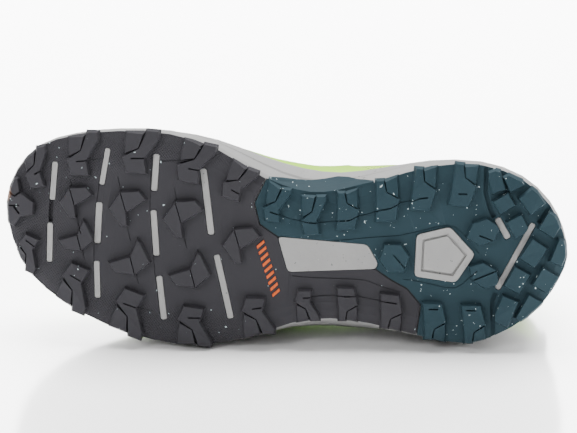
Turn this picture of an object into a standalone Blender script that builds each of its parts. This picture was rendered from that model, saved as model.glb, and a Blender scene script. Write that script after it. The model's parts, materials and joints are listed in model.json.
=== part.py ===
"""Trail running shoe for the right foot, lying on its outer side with its tread facing -Y.

Every piece is modelled in the shoe's own frame: X runs from the back of the heel to the toe,
Y from the middle towards the inner (big toe) side, and Z up from the ground that the lugs stand on.
The pieces hang on one empty that lays the shoe down on its outer side.
"""
import math
from collections import namedtuple

import bmesh
import bpy
from mathutils import Matrix, Vector

MM = 0.001

# Main sizes of the sole
LENGTH = 297 * MM
BALL_WIDTH = 109 * MM
LUG_HEIGHT = 4.0 * MM
PLATE = 2.2 * MM
GAP = 0.3 * MM
TOE_SPRING = 11 * MM
TOE_SPRING_START = 0.66
HEEL_SPRING = 4.5 * MM
HEEL_SPRING_END = 0.11
EDGE_LIFT = 1.6 * MM
EDGE_BAND = 9 * MM

# Sizes of the lugs and the openings of the tread
LUG_SINK = 1.2 * MM
LUG_DRAFT = 1.25 * MM
GROOVE = 0.6 * MM
EDGE_TRIM_TIP = 1.0 * MM
EDGE_TRIM_ROOT = 0.7 * MM
SEAM = 0.7 * MM
BOSS_SINK = 2.0 * MM
SLOT_RECESS = 0.4 * MM
SLOT_GROWTH = 0.35 * MM
PAD_STAND = 1.1 * MM
PAD_GROOVE = 1.3 * MM
PAD_GROOVE_DEPTH = 1.2 * MM
PAD_CORNER = 2.2 * MM
WINDOW_CORNER = 1.8 * MM

# Sizes of the midsole
FOOTBED_HEEL = 31 * MM
FOOTBED_BALL = 24.5 * MM
FOOTBED_FALL_START = 0.20
FOOTBED_FALL_END = 0.62
TOE_THINNING = 0.85
RIM_HEIGHT_HEEL = 9 * MM
RIM_HEIGHT_BALL = 5.5 * MM
RIM_WALL = 3.2 * MM
RIM_ROUNDING = 0.9 * MM
SIDE_GROOVE = 1.3 * MM
WING_THICKNESS = 1.5 * MM
WING_FOOT = 4 * MM

# Sizes of the upper and what is on it
TOPLINE_HEIGHT = 101 * MM
WALL = 2.2 * MM
COLLAR_PADDING = 4.6 * MM
OVERLAY = 1.1 * MM
INSOLE_THICKNESS = 4 * MM
INSOLE_CUP = 3 * MM
TONGUE_THICKNESS = 4.2 * MM
TONGUE_GAP = 0.9 * MM
TONGUE_CROWN = 2.6 * MM
TONGUE_TAB = 24 * MM
LACE_WIDTH = 5.2 * MM
LACE_THICKNESS = 1.9 * MM
LACE_CLEARANCE = 0.3 * MM
LACE_OVER = 0.35 * MM
EYELET_SETBACK = 0.75
EYELET_HOLE = 4.4 * MM
EYELET_SIDES = 6

# How finely the outlines and the upper are divided
PER_SPAN = 2
UPPER_ROWS = 7
LACE_SIDES = 4

# Sole outline: station as a share of LENGTH, the rest as shares of BALL_WIDTH out from the middle.
# The tread is the rubber's edge on the ground, the rim is the midsole's top edge.
EdgeRow = namedtuple("EdgeRow", "station tread_inner rim_inner tread_outer rim_outer")
EDGE_TABLE = (
    EdgeRow(0.012, 0.101, 0.114, 0.116, 0.112),
    EdgeRow(0.039, 0.228, 0.236, 0.246, 0.232),
    EdgeRow(0.091, 0.343, 0.342, 0.372, 0.346),
    EdgeRow(0.165, 0.399, 0.391, 0.464, 0.434),
    EdgeRow(0.253, 0.374, 0.379, 0.444, 0.454),
    EdgeRow(0.337, 0.292, 0.330, 0.404, 0.473),
    EdgeRow(0.411, 0.213, 0.297, 0.394, 0.470),
    EdgeRow(0.478, 0.192, 0.308, 0.430, 0.486),
    EdgeRow(0.549, 0.264, 0.350, 0.512, 0.520),
    EdgeRow(0.633, 0.381, 0.410, 0.566, 0.541),
    EdgeRow(0.717, 0.435, 0.434, 0.566, 0.536),
    EdgeRow(0.808, 0.430, 0.419, 0.508, 0.482),
    EdgeRow(0.886, 0.391, 0.378, 0.416, 0.400),
    EdgeRow(0.946, 0.326, 0.310, 0.304, 0.290),
    EdgeRow(0.985, 0.198, 0.188, 0.138, 0.130),
)
HEEL_TIP = (0.002, -0.018)
HEEL_RIM_TIP = (0.0, -0.018)
TOE_TIP = (1.0, 0.040)
TOE_RIM_TIP = (0.995, 0.038)

# Side wall of the midsole from the tread's edge (0) to the rim (1), with how far it stands out.
WallRow = namedtuple("WallRow", "height bulge")
WALL_TABLE = (
    WallRow(0.10, 0.9 * MM),
    WallRow(0.42, 1.3 * MM),
    WallRow(0.47, 1.3 * MM - SIDE_GROOVE),
    WallRow(0.52, 1.1 * MM),
    WallRow(0.90, 0.4 * MM),
)

# Parting line of the two rubbers and the openings of the tread, as shares of LENGTH and BALL_WIDTH.
SEAM_INNER = ((0.542, 0.257), (0.559, 0.138), (0.547, 0.037))
SEAM_OUTER = ((0.310, -0.182), (0.279, -0.220), (0.253, -0.294), (0.256, -0.427))
WINDOW = ((0.513, -0.018), (0.355, -0.023), (0.334, -0.110), (0.338, -0.136), (0.491, -0.182))
SEAM_REACH = 0.4
PAD = ((0.271, 0.046), (0.212, 0.097), (0.164, -0.028), (0.194, -0.174), (0.269, -0.159))
PAD_MARGIN = 3.4 * MM

# Slots in the tread that show the midsole: both ends as shares, and the width.
Slot = namedtuple("Slot", "front_station front_side back_station back_side width")
FOREFOOT_SLOTS = (
    Slot(0.917, 0.257, 0.918, 0.073, 2.8 * MM),
    Slot(0.919, -0.041, 0.916, -0.229, 2.8 * MM),
    Slot(0.824, 0.344, 0.831, 0.168, 2.6 * MM),
    Slot(0.833, 0.080, 0.832, -0.117, 3.2 * MM),
    Slot(0.831, -0.205, 0.825, -0.381, 2.8 * MM),
    Slot(0.737, 0.335, 0.737, 0.159, 3.0 * MM),
    Slot(0.736, 0.064, 0.725, -0.153, 3.0 * MM),
    Slot(0.718, -0.252, 0.704, -0.459, 3.0 * MM),
    Slot(0.653, 0.282, 0.631, -0.030, 3.2 * MM),
    Slot(0.619, -0.128, 0.586, -0.429, 3.0 * MM),
)
HEEL_SLOTS = (
    Slot(0.131, 0.151, 0.109, 0.060, 3.0 * MM),
    Slot(0.067, 0.138, 0.121, -0.188, 2.7 * MM),
)

# Claw lugs along the edge: where the groove meets the edge, the lug's size, how far its inner end
# leans back in degrees, whether its bar lies behind the groove (1) or in front of it (-1), and how
# far the bar stands out past the edge.
Claw = namedtuple("Claw", "station side width depth lean facing stand")
INNER, OUTER = 1, -1
FOREFOOT_CLAWS = (
    Claw(0.951, INNER, 12.0 * MM, 21 * MM, 14, 1, 0.8 * MM),
    Claw(0.862, INNER, 15.5 * MM, 23 * MM, 4, 1, 1.2 * MM),
    Claw(0.756, INNER, 17.0 * MM, 23 * MM, 0, 1, 1.0 * MM),
    Claw(0.653, INNER, 17.0 * MM, 22 * MM, -8, 1, 0.6 * MM),
    Claw(0.573, INNER, 14.5 * MM, 19 * MM, -16, 1, 0.2 * MM),
    Claw(0.956, OUTER, 12.5 * MM, 18 * MM, 18, 1, 1.6 * MM),
    Claw(0.867, OUTER, 16.5 * MM, 24 * MM, 17, 1, 1.6 * MM),
    Claw(0.764, OUTER, 17.5 * MM, 24 * MM, 15, 1, 1.2 * MM),
    Claw(0.640, OUTER, 17.5 * MM, 21 * MM, 2, 1, 0.4 * MM),
    Claw(0.527, OUTER, 16.0 * MM, 20 * MM, -4, 1, 0.4 * MM),
    Claw(0.444, OUTER, 11.5 * MM, 17 * MM, -6, 1, 0.2 * MM),
    Claw(0.384, OUTER, 12.0 * MM, 18 * MM, -4, -1, 0.2 * MM),
    Claw(0.308, OUTER, 13.0 * MM, 19 * MM, -1, -1, 0.2 * MM),
)
HEEL_CLAWS = (
    Claw(0.511, INNER, 12.0 * MM, 19 * MM, -4, 1, 0.0),
    Claw(0.450, INNER, 12.5 * MM, 21 * MM, 6, 1, 0.0),
    Claw(0.402, INNER, 13.0 * MM, 20 * MM, 6, -1, 0.0),
    Claw(0.335, INNER, 14.0 * MM, 22 * MM, 7, -1, 0.0),
    Claw(0.268, INNER, 14.0 * MM, 22 * MM, 0, -1, 0.3 * MM),
    Claw(0.197, INNER, 14.5 * MM, 22 * MM, -3, -1, 0.3 * MM),
    Claw(0.229, OUTER, 13.5 * MM, 20 * MM, -4, -1, 0.0),
    Claw(0.158, OUTER, 13.5 * MM, 21 * MM, -6, -1, 0.0),
)

# A claw's two blocks: shares of its width towards the toe and of its depth in from the edge. The
# paddle falls away from the groove: its share of the lug height comes last. The claws whose bar
# lies in front of the groove are straighter.
CLAW_BAR = ((-0.36, 0.0), (-0.38, 0.12), (0.03, 0.59), (-0.06, 0.93), (0.56, 0.94),
            (0.70, 0.60), (0.22, 0.37), (0.0, 0.0))
CLAW_PADDLE = ((0.0, 0.0, 0.94), (0.22, 0.37, 0.94), (0.62, 0.51, 0.72), (0.66, 0.28, 0.42),
               (0.60, 0.0, 0.42))
STRAIGHT_BAR = ((-0.27, 0.0), (-0.31, 0.50), (-0.37, 0.97), (0.37, 0.95), (0.54, 0.47),
                (0.09, 0.28), (0.0, 0.0))
STRAIGHT_PADDLE = ((0.0, 0.0, 0.94), (0.09, 0.28, 0.94), (0.50, 0.43, 0.72), (0.53, 0.22, 0.46),
                   (0.48, 0.0, 0.42))

# Two-block lugs in the middle of the forefoot: the top of the groove between the blocks.
Wedge = namedtuple("Wedge", "station side width")
INNER_WEDGES = (
    Wedge(0.887, 0.139, 15.5 * MM),
    Wedge(0.796, 0.140, 17.5 * MM),
    Wedge(0.698, 0.115, 18.5 * MM),
    Wedge(0.591, 0.005, 17.5 * MM),
)
OUTER_WEDGES = (
    Wedge(0.868, -0.083, 18.0 * MM),
    Wedge(0.771, -0.165, 21.0 * MM),
    Wedge(0.663, -0.202, 21.0 * MM),
)
# Their blocks as shares of the width, towards the toe and towards the inner side.
INNER_WEDGE_BLOCKS = (
    ((0.0, 0.01), (-0.56, 0.09), (-0.79, -0.15), (-0.21, -0.57)),
    ((0.0, 0.01), (0.31, -0.50), (-0.10, -1.0), (-0.28, -0.97), (-0.21, -0.57)),
)
OUTER_WEDGE_BLOCKS = (
    ((0.0, 0.0), (-0.15, 0.44), (-0.24, 0.36), (-0.50, -0.10), (-0.15, -0.45)),
    ((0.0, 0.0), (0.52, -0.20), (0.34, -0.42), (-0.15, -0.45)),
)

# The pointed lug at the tip of the toe, as shares of LENGTH and BALL_WIDTH.
TOE_LUG = ((0.993, 0.160), (0.983, 0.159), (0.977, 0.095), (0.951, 0.054), (0.951, 0.0),
           (0.973, -0.017), (0.983, -0.067), (0.993, -0.055), (1.002, 0.010), (1.002, 0.080))

# Square blocks of the heel: centre, length along the turned direction, width across, turn.
Block = namedtuple("Block", "station side length width turn")
HEEL_BLOCKS = (
    Block(0.139, 0.330, 10.5 * MM, 6.5 * MM, 68),
    Block(0.108, 0.337, 7.5 * MM, 7.5 * MM, 60),
    Block(0.122, 0.228, 7.0 * MM, 8.5 * MM, 55),
    Block(0.073, 0.249, 10.0 * MM, 9.0 * MM, 50),
    Block(0.094, 0.124, 9.0 * MM, 8.0 * MM, 58),
    Block(0.036, 0.140, 9.5 * MM, 9.0 * MM, 118),
    Block(0.063, 0.000, 11.5 * MM, 9.0 * MM, 120),
    Block(0.015, 0.010, 12.0 * MM, 6.5 * MM, 108),
    Block(0.088, -0.135, 11.0 * MM, 8.5 * MM, 115),
    Block(0.037, -0.130, 10.0 * MM, 9.5 * MM, 117),
    Block(0.104, -0.290, 14.0 * MM, 8.5 * MM, 108),
    Block(0.062, -0.277, 13.5 * MM, 8.0 * MM, 115),
)
# Six-sided lugs around the heel pad, given the same way.
HEEL_PODS = (
    Block(0.306, -0.074, 17.0 * MM, 13.0 * MM, 50),
    Block(0.154, 0.084, 17.5 * MM, 11.5 * MM, 158),
    Block(0.146, -0.124, 17.5 * MM, 10.5 * MM, 26),
)
POD_NOSE = 0.28

# The rubber wing up the inner side of the waist: station, its top as a share of the side wall, and
# how far it stands out as a share of WING_THICKNESS.
WingRow = namedtuple("WingRow", "station top stand")
WING_TABLE = (
    WingRow(0.352, 0.03, 0.3), WingRow(0.366, 0.10, 0.7), WingRow(0.380, 0.24, 0.9),
    WingRow(0.396, 0.44, 1.0), WingRow(0.416, 0.54, 1.0), WingRow(0.438, 0.46, 1.0),
    WingRow(0.462, 0.37, 1.0), WingRow(0.490, 0.29, 1.0), WingRow(0.515, 0.19, 0.8),
    WingRow(0.538, 0.05, 0.3),
)

# The opening of the upper, from the heel to the front of the throat: station as a share of LENGTH,
# inner and outer side as shares of BALL_WIDTH, height as a share of TOPLINE_HEIGHT. Then how the
# upper's wall leaves the rim (lean outwards in degrees on the inner and the outer side, rise) and
# reaches the opening (drop below level in degrees, reach), with rise and reach as shares of
# TOPLINE_HEIGHT.
UpperRow = namedtuple("UpperRow", "station inner outer height lean_inner lean_outer rise drop reach")
UPPER_TABLE = (
    UpperRow(0.024, -0.018, 0.018, 0.985, 14, 14, 0.26, 104, 0.24),
    UpperRow(0.029, 0.073, 0.110, 0.975, 13, 13, 0.25, 102, 0.22),
    UpperRow(0.048, 0.160, 0.195, 0.925, 11, 11, 0.23, 99, 0.18),
    UpperRow(0.091, 0.248, 0.284, 0.820, 8, 8, 0.19, 92, 0.12),
    UpperRow(0.155, 0.298, 0.335, 0.742, 6, 6, 0.15, 84, 0.10),
    UpperRow(0.229, 0.305, 0.344, 0.722, 12, 7, 0.14, 80, 0.10),
    UpperRow(0.303, 0.275, 0.330, 0.785, 34, 9, 0.16, 74, 0.12),
    UpperRow(0.357, 0.206, 0.284, 0.895, 42, 12, 0.19, 62, 0.15),
    UpperRow(0.387, 0.130, 0.220, 1.000, 23, 15, 0.22, 50, 0.17),
    UpperRow(0.451, 0.105, 0.188, 0.940, 11, 18, 0.25, 42, 0.18),
    UpperRow(0.519, 0.095, 0.165, 0.862, 7, 20, 0.27, 36, 0.19),
    UpperRow(0.586, 0.083, 0.142, 0.782, 8, 20, 0.27, 31, 0.20),
    UpperRow(0.643, 0.073, 0.124, 0.722, 8, 18, 0.25, 26, 0.21),
    UpperRow(0.684, 0.062, 0.106, 0.685, 8, 14, 0.24, 21, 0.25),
    UpperRow(0.711, 0.044, 0.078, 0.664, 8, 8, 0.23, 18, 0.31),
    UpperRow(0.724, 0.017, 0.046, 0.654, 8, 8, 0.25, 16, 0.38),
    UpperRow(0.728, -0.014, 0.014, 0.651, 8, 8, 0.26, 15, 0.42),
)
COLLAR_ROWS = 8

# Overlays of the upper: the top row they reach, from their middle out to their ends, and the
# places of the eyelets along the outline.
TOE_BUMPER_TOPS = (4, 4, 4, 3, 3, 3, 2, 2, 2, 2, 1)
HEEL_COUNTER_TOPS = (6, 6, 6, 5, 5, 4, 4, 3, 3, 2, 1)
EYESTAY_ROWS = 2
EYELET_ROWS = range(17, 28, 2)

# Finishes: name, base colour, roughness
CHARCOAL_RUBBER = ("charcoal rubber", (0.045, 0.044, 0.050), 0.62)
TEAL_RUBBER = ("teal rubber", (0.040, 0.096, 0.122), 0.58)
GREY_FOAM = ("speckled grey foam", (0.62, 0.62, 0.61), 0.75)
LIME_MESH = ("lime mesh", (0.50, 0.86, 0.09), 0.80)
LIME_FILM = ("lime film", (0.42, 0.74, 0.08), 0.45)
DARK_FILM = ("dark film", (0.045, 0.050, 0.055), 0.45)
TEAL_TEXTILE = ("teal textile", (0.045, 0.11, 0.14), 0.85)
CORD = ("lace", (0.055, 0.06, 0.065), 0.80)


def clear_scene():
    for item in list(bpy.data.objects):
        bpy.data.objects.remove(item)


def material(finish):
    name, colour, roughness = finish
    made = bpy.data.materials.get(name)
    if made is None:
        made = bpy.data.materials.new(name)
        made.use_nodes = True
        shader = made.node_tree.nodes["Principled BSDF"]
        shader.inputs["Base Color"].default_value = (*colour, 1.0)
        shader.inputs["Roughness"].default_value = roughness
        shader.inputs["Metallic"].default_value = 0.0
    return made


def add_object(name, points, faces, finish=None, smooth=None):
    """A closed mesh with its faces pointing out, shaded smooth up to an angle if one is given."""
    mesh = bpy.data.meshes.new(name)
    mesh.from_pydata([tuple(p) for p in points], [], faces)
    shape = bmesh.new()
    shape.from_mesh(mesh)
    bmesh.ops.remove_doubles(shape, verts=shape.verts, dist=0.00001)
    bmesh.ops.triangulate(shape, faces=shape.faces, quad_method="FIXED")
    bmesh.ops.recalc_face_normals(shape, faces=shape.faces)
    shape.to_mesh(mesh)
    shape.free()
    if smooth is not None:
        mesh.shade_smooth()
        mesh.set_sharp_from_angle(angle=math.radians(smooth))
    made = bpy.data.objects.new(name, mesh)
    bpy.context.scene.collection.objects.link(made)
    if finish:
        mesh.materials.append(material(finish))
    return made


def boolean(target, cutter, operation, mixed=False):
    """Joins or cuts target with a hidden cutter; mixed is for a cutter whose pieces cross."""
    cutter.hide_render = True
    cutter.display_type = "WIRE"
    step = target.modifiers.new(operation.title(), "BOOLEAN")
    step.operation = operation
    step.solver = "EXACT"
    step.use_self = mixed
    step.object = cutter


def weld(target):
    """Joins corners that cuts left less than 0.03 mm apart."""
    step = target.modifiers.new("Weld", "WELD")
    step.merge_threshold = 0.00003


def smooth_share(value):
    value = min(1.0, max(0.0, value))
    return value * value * (3 - 2 * value)


def closed_spline(control, per_span):
    """A closed centripetal Catmull-Rom curve through the control points."""
    found = []
    count = len(control)
    for index in range(count):
        p = [control[(index + shift) % count] for shift in (-1, 0, 1, 2)]
        knots = [0.0]
        for a, b in zip(p, p[1:]):
            knots.append(knots[-1] + math.sqrt((b - a).length))
        for part in range(per_span):
            at = knots[1] + (knots[2] - knots[1]) * part / per_span
            level = list(p)
            for width in (1, 2, 3):
                nxt = []
                for k in range(len(level) - 1):
                    low, high = knots[k], knots[k + width]
                    if width == 3:
                        low, high = knots[1], knots[2]
                    elif width == 2:
                        low, high = knots[k], knots[k + 2]
                    nxt.append(level[k] + (level[k + 1] - level[k]) * (at - low) / (high - low))
                level = nxt
            found.append(level[0])
    return found


def sole_point(pair):
    return Vector((pair[0] * LENGTH, pair[1] * BALL_WIDTH))


def edge_loop(inner, outer, heel_tip, toe_tip):
    """The closed outline from the heel along the inner side to the toe and back."""
    inner_side = [sole_point((row.station, getattr(row, inner))) for row in EDGE_TABLE]
    outer_side = [sole_point((row.station, -getattr(row, outer))) for row in EDGE_TABLE]
    control = [sole_point(heel_tip), *inner_side, sole_point(toe_tip), *reversed(outer_side)]
    return closed_spline(control, PER_SPAN)


def outward(loop):
    """The outward direction at each point of a loop that runs clockwise seen from above."""
    found = []
    for index in range(len(loop)):
        along = loop[(index + 1) % len(loop)] - loop[index - 1]
        found.append(Vector((-along.y, along.x)).normalized())
    return found


def inset(loop, depth):
    return [p - n * depth for p, n in zip(loop, outward(loop))]


TREAD = edge_loop("tread_inner", "tread_outer", HEEL_TIP, TOE_TIP)
RIM = edge_loop("rim_inner", "rim_outer", HEEL_RIM_TIP, TOE_RIM_TIP)
COUNT = len(TREAD)
TOE = COUNT // 2


def ground(station):
    """How far the lug tips rise above the ground at a station, for toe spring and heel bevel."""
    start = TOE_SPRING_START * LENGTH
    end = HEEL_SPRING_END * LENGTH
    toe = max(0.0, station - start) / (LENGTH - start)
    heel = max(0.0, end - station) / end
    return TOE_SPRING * toe ** 2 + HEEL_SPRING * heel ** 2


def toe_rise(station):
    start = TOE_SPRING_START * LENGTH
    return TOE_SPRING * TOE_THINNING * (max(0.0, station - start) / (LENGTH - start)) ** 2


def edge_lift(depth):
    """The tread curls up near its edge; depth is how far in from the edge a point lies."""
    return EDGE_LIFT * (1 - min(1.0, max(0.0, depth / EDGE_BAND))) ** 2


def depth_inside(point):
    """Distance from the tread's edge, negative outside it."""
    nearest = None
    inside = False
    for a, b in zip(TREAD, TREAD[1:] + TREAD[:1]):
        along = b - a
        share = min(1.0, max(0.0, (point - a).dot(along) / along.length_squared))
        gap = (point - a - along * share).length
        nearest = gap if nearest is None else min(nearest, gap)
        if (a.y > point.y) != (b.y > point.y):
            if point.x < a.x + (point.y - a.y) * along.x / along.y:
                inside = not inside
    return nearest if inside else -nearest


def tip_level(point):
    return ground(point.x) + edge_lift(depth_inside(point))


def footbed(station):
    start, end = FOOTBED_FALL_START * LENGTH, FOOTBED_FALL_END * LENGTH
    fall = smooth_share((station - start) / (end - start))
    return FOOTBED_HEEL + (FOOTBED_BALL - FOOTBED_HEEL) * fall + toe_rise(station)


def rim_level(station):
    start, end = FOOTBED_FALL_START * LENGTH, FOOTBED_FALL_END * LENGTH
    fall = smooth_share((station - start) / (end - start))
    return footbed(station) + RIM_HEIGHT_HEEL + (RIM_HEIGHT_BALL - RIM_HEIGHT_HEEL) * fall


def raised(loop, level):
    """A flat loop lifted to a level that depends on the station."""
    return [Vector((p.x, p.y, level(p.x))) for p in loop]


def ring_faces(rings, count):
    """Quads between rings of equal count that follow each other."""
    faces = []
    for ring in range(rings - 1):
        for index in range(count):
            following = (index + 1) % count
            faces.append((ring * count + index, ring * count + following,
                          (ring + 1) * count + following, (ring + 1) * count + index))
    return faces


def ladder_faces(first, count):
    """Closes a ring with rungs from its inner side to its outer side."""
    faces = [(first, first + 1, first + count - 1)]
    for index in range(1, count // 2 - 1):
        faces.append((first + index, first + index + 1,
                      first + count - index - 1, first + count - index))
    faces.append((first + count // 2 - 1, first + count // 2, first + count // 2 + 1))
    return faces


def loft(name, rings, finish=None, smooth=None):
    """A closed solid through closed rings, with a ladder across the first and the last."""
    points = [p for ring in rings for p in ring]
    faces = ring_faces(len(rings), COUNT)
    faces += ladder_faces(0, COUNT)
    faces += ladder_faces((len(rings) - 1) * COUNT, COUNT)
    return add_object(name, points, faces, finish, smooth)


def curled_ring(depth, height):
    """A ring of the tread's surface, inset by depth and raised by height over the lug tips."""
    lift = edge_lift(depth) + height
    return raised(inset(TREAD, depth), lambda station: ground(station) + lift)


def inset_polygon(points, depth):
    """A polygon drawn in by depth along its corners, whichever way it runs."""
    area = sum(a.x * b.y - b.x * a.y for a, b in zip(points, points[1:] + points[:1]))
    turn = 1 if area > 0 else -1
    found = []
    for index, point in enumerate(points):
        before = (point - points[index - 1]).normalized()
        after = (points[(index + 1) % len(points)] - point).normalized()
        side = Vector((-before.y, before.x)) * turn
        other = Vector((-after.y, after.x)) * turn
        corner = (side + other).normalized()
        found.append(point + corner * depth / max(0.5, corner.dot(side)))
    return found


def rounded_corner(before, corner, after, cut):
    """Three points that round a corner, from cut before it to cut after it on sides long enough."""
    start, end = (
        corner + side.normalized() * min(cut, side.length * 0.45)
        for side in (before - corner, after - corner)
    )
    return [start, (start + end) / 4 + corner / 2, end]


def rounded(points, cut):
    """A polygon with every corner rounded."""
    found = []
    for index, point in enumerate(points):
        following = points[(index + 1) % len(points)]
        found += rounded_corner(points[index - 1], point, following, cut)
    return found


def prism(points, low, high):
    """Points and faces of an upright prism; low and high give the level at a point."""
    count = len(points)
    corners = [Vector((p.x, p.y, low(p))) for p in points]
    corners += [Vector((p.x, p.y, high(p))) for p in points]
    faces = [tuple(range(count)), tuple(range(count, 2 * count))]
    for index in range(count):
        following = (index + 1) % count
        faces.append((index, following, count + following, count + index))
    return corners, faces


def lug(points, heights=None):
    """A tapered lug under the tread, from inside the plate down to its share of the lug height."""
    count = len(points)
    heights = heights or [1.0] * count
    spread = inset_polygon(points, -LUG_DRAFT)
    root = [Vector((p.x, p.y, tip_level(p) + LUG_HEIGHT + LUG_SINK)) for p in spread]
    tip = [
        Vector((p.x, p.y, tip_level(p) + LUG_HEIGHT * (1 - share)))
        for p, share in zip(points, heights)
    ]
    faces = [tuple(range(count)), tuple(range(count, 2 * count))]
    for index in range(count):
        following = (index + 1) % count
        faces.append((index, following, count + following, count + index))
    return root + tip, faces


def joined(name, shapes):
    """One mesh of several closed shapes."""
    points, faces = [], []
    for corners, shape_faces in shapes:
        start = len(points)
        points += corners
        faces += [tuple(start + index for index in face) for face in shape_faces]
    return add_object(name, points, faces)


def edge_at(station, side):
    """Where the tread's edge crosses a station on one side."""
    half = TREAD[:TOE + 1] if side == INNER else TREAD[TOE:] + TREAD[:1]
    for a, b in zip(half, half[1:]):
        low, high = sorted((a, b), key=lambda p: p.x)
        if low.x <= station <= high.x:
            share = (station - low.x) / (high.x - low.x)
            return low + (high - low) * share
    raise ValueError("the station lies off the sole")


def claw_corner(claw, x, y, stand):
    """A corner of a claw lug; one on the edge stands out past it."""
    start = edge_at(claw.station * LENGTH, claw.side)
    lean = math.radians(claw.lean)
    along = Vector((math.cos(lean), -claw.side * math.sin(lean))) * claw.facing
    inward = Vector((-math.sin(lean), -claw.side * math.cos(lean)))
    return start + along * claw.width * x + inward * (claw.depth * y if y else -stand)


def claw_bar(claw):
    outline = CLAW_BAR if claw.facing > 0 else STRAIGHT_BAR
    corners = [claw_corner(claw, x, y, claw.stand) for x, y in outline]
    return lug(inset_polygon(corners, GROOVE / 2))


def claw_paddle(claw):
    outline = CLAW_PADDLE if claw.facing > 0 else STRAIGHT_PADDLE
    corners = [claw_corner(claw, x, y, claw.depth / 4) for x, y, height in outline]
    heights = [height for x, y, height in outline]
    return lug(inset_polygon(corners, GROOVE / 2), heights)


def wedge_lugs(wedge, blocks):
    start = sole_point((wedge.station, wedge.side))
    shapes = []
    for outline in blocks:
        corners = [start + Vector((x, y)) * wedge.width for x, y in outline]
        shapes.append(lug(inset_polygon(corners, GROOVE / 2)))
    return shapes


def block_lug(block, nose=0.0):
    """A square lug, or a six-sided one where nose says how far its ends are pointed."""
    centre = sole_point((block.station, block.side))
    turn = math.radians(block.turn)
    along = Vector((math.cos(turn), math.sin(turn))) * block.length / 2
    across = Vector((-math.sin(turn), math.cos(turn))) * block.width / 2
    if nose:
        waist = 1 - nose * 2
        corners = [centre + along, centre + along * waist + across,
                   centre - along * waist + across, centre - along,
                   centre - along * waist - across, centre + along * waist - across]
    else:
        corners = [centre + along + across, centre - along + across,
                   centre - along - across, centre + along - across]
    return lug(corners)


def slot_outline(slot, growth=0.0):
    """A slot with cut corners at its ends; growth widens it all round."""
    front = sole_point((slot.front_station, slot.front_side))
    back = sole_point((slot.back_station, slot.back_side))
    along = (front - back).normalized()
    across = Vector((-along.y, along.x))
    half = slot.width / 2 + growth
    corner = half * 0.45
    front += along * growth
    back -= along * growth
    return [front + across * (half - corner), front - across * (half - corner),
            front - along * corner - across * half, back + along * corner - across * half,
            back - across * (half - corner), back + across * (half - corner),
            back + along * corner + across * half, front - along * corner + across * half]


def edge_trim(name):
    """A solid as wide as the tread that trims lugs along its edge."""
    top = LUG_HEIGHT + LUG_SINK
    below = [curled_ring(depth, -LUG_HEIGHT) for depth in (EDGE_BAND, EDGE_TRIM_TIP)]
    above = [curled_ring(depth, 2 * top) for depth in (-EDGE_TRIM_ROOT, EDGE_BAND)]
    return loft(name, [*below, curled_ring(EDGE_TRIM_TIP, 0.0), curled_ring(-EDGE_TRIM_ROOT, top),
                       *above])


def trimmed(name, shapes):
    """Lugs that end at the tread's edge."""
    made = joined(name, shapes)
    boolean(made, edge_trim(name + "_trim"), "INTERSECT", mixed=True)
    return made


def opening_cutter(name, outlines):
    """Upright cutters through the whole plate."""
    reach = LUG_HEIGHT + PLATE
    shapes = [
        prism(outline, lambda p: tip_level(p) - reach, lambda p: tip_level(p) + 2 * reach)
        for outline in outlines
    ]
    return joined(name, shapes)


def zone_outline(front):
    """The part of the plan that one rubber covers, out past the sole's edge."""
    inner = [sole_point(p) for p in SEAM_INNER]
    outer = [sole_point(p) for p in SEAM_OUTER]
    window = [sole_point(p) for p in WINDOW]
    reach = SEAM_REACH * BALL_WIDTH
    first = Vector((inner[0].x, inner[0].y + reach))
    last = Vector((outer[-1].x, outer[-1].y - reach))
    far = LENGTH + reach if front else -reach
    if front:
        middle = rounded_corner(window[0], window[4], window[3], WINDOW_CORNER)
    else:
        middle = rounded_corner(window[0], window[1], window[2], WINDOW_CORNER)
        middle += rounded_corner(window[1], window[2], window[3], WINDOW_CORNER)
    middle = [window[0], *middle, window[3]]
    corners = [first, *inner, *middle, *outer, last,
               Vector((far, last.y)), Vector((far, first.y))]
    return inset_polygon(corners, SEAM / 2)


def zone_cutter(name, front):
    low, high = -2 * LUG_HEIGHT, TOPLINE_HEIGHT
    return joined(name, [prism(zone_outline(front), lambda p: low, lambda p: high)])


def plate(name, finish):
    """The tread's base over the whole sole, before it is parted into its two rubbers."""
    rings = [curled_ring(depth, LUG_HEIGHT) for depth in (EDGE_BAND, EDGE_BAND / 2, 0.0)]
    rings += [curled_ring(depth, LUG_HEIGHT + PLATE) for depth in (0.0, EDGE_BAND)]
    return loft(name, rings, finish)


def wall_point(index, share, bulge):
    """A point of the midsole's side wall at a share of its height, standing out by bulge."""
    low, high = TREAD[index], RIM[index]
    bottom = ground(low.x) + edge_lift(0.0) + LUG_HEIGHT + PLATE + GAP
    flat = low.lerp(high, share) + WALL_NORMALS[index] * bulge
    return Vector((flat.x, flat.y, bottom + (rim_level(high.x) - bottom) * share))


WALL_NORMALS = outward(RIM)


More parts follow.
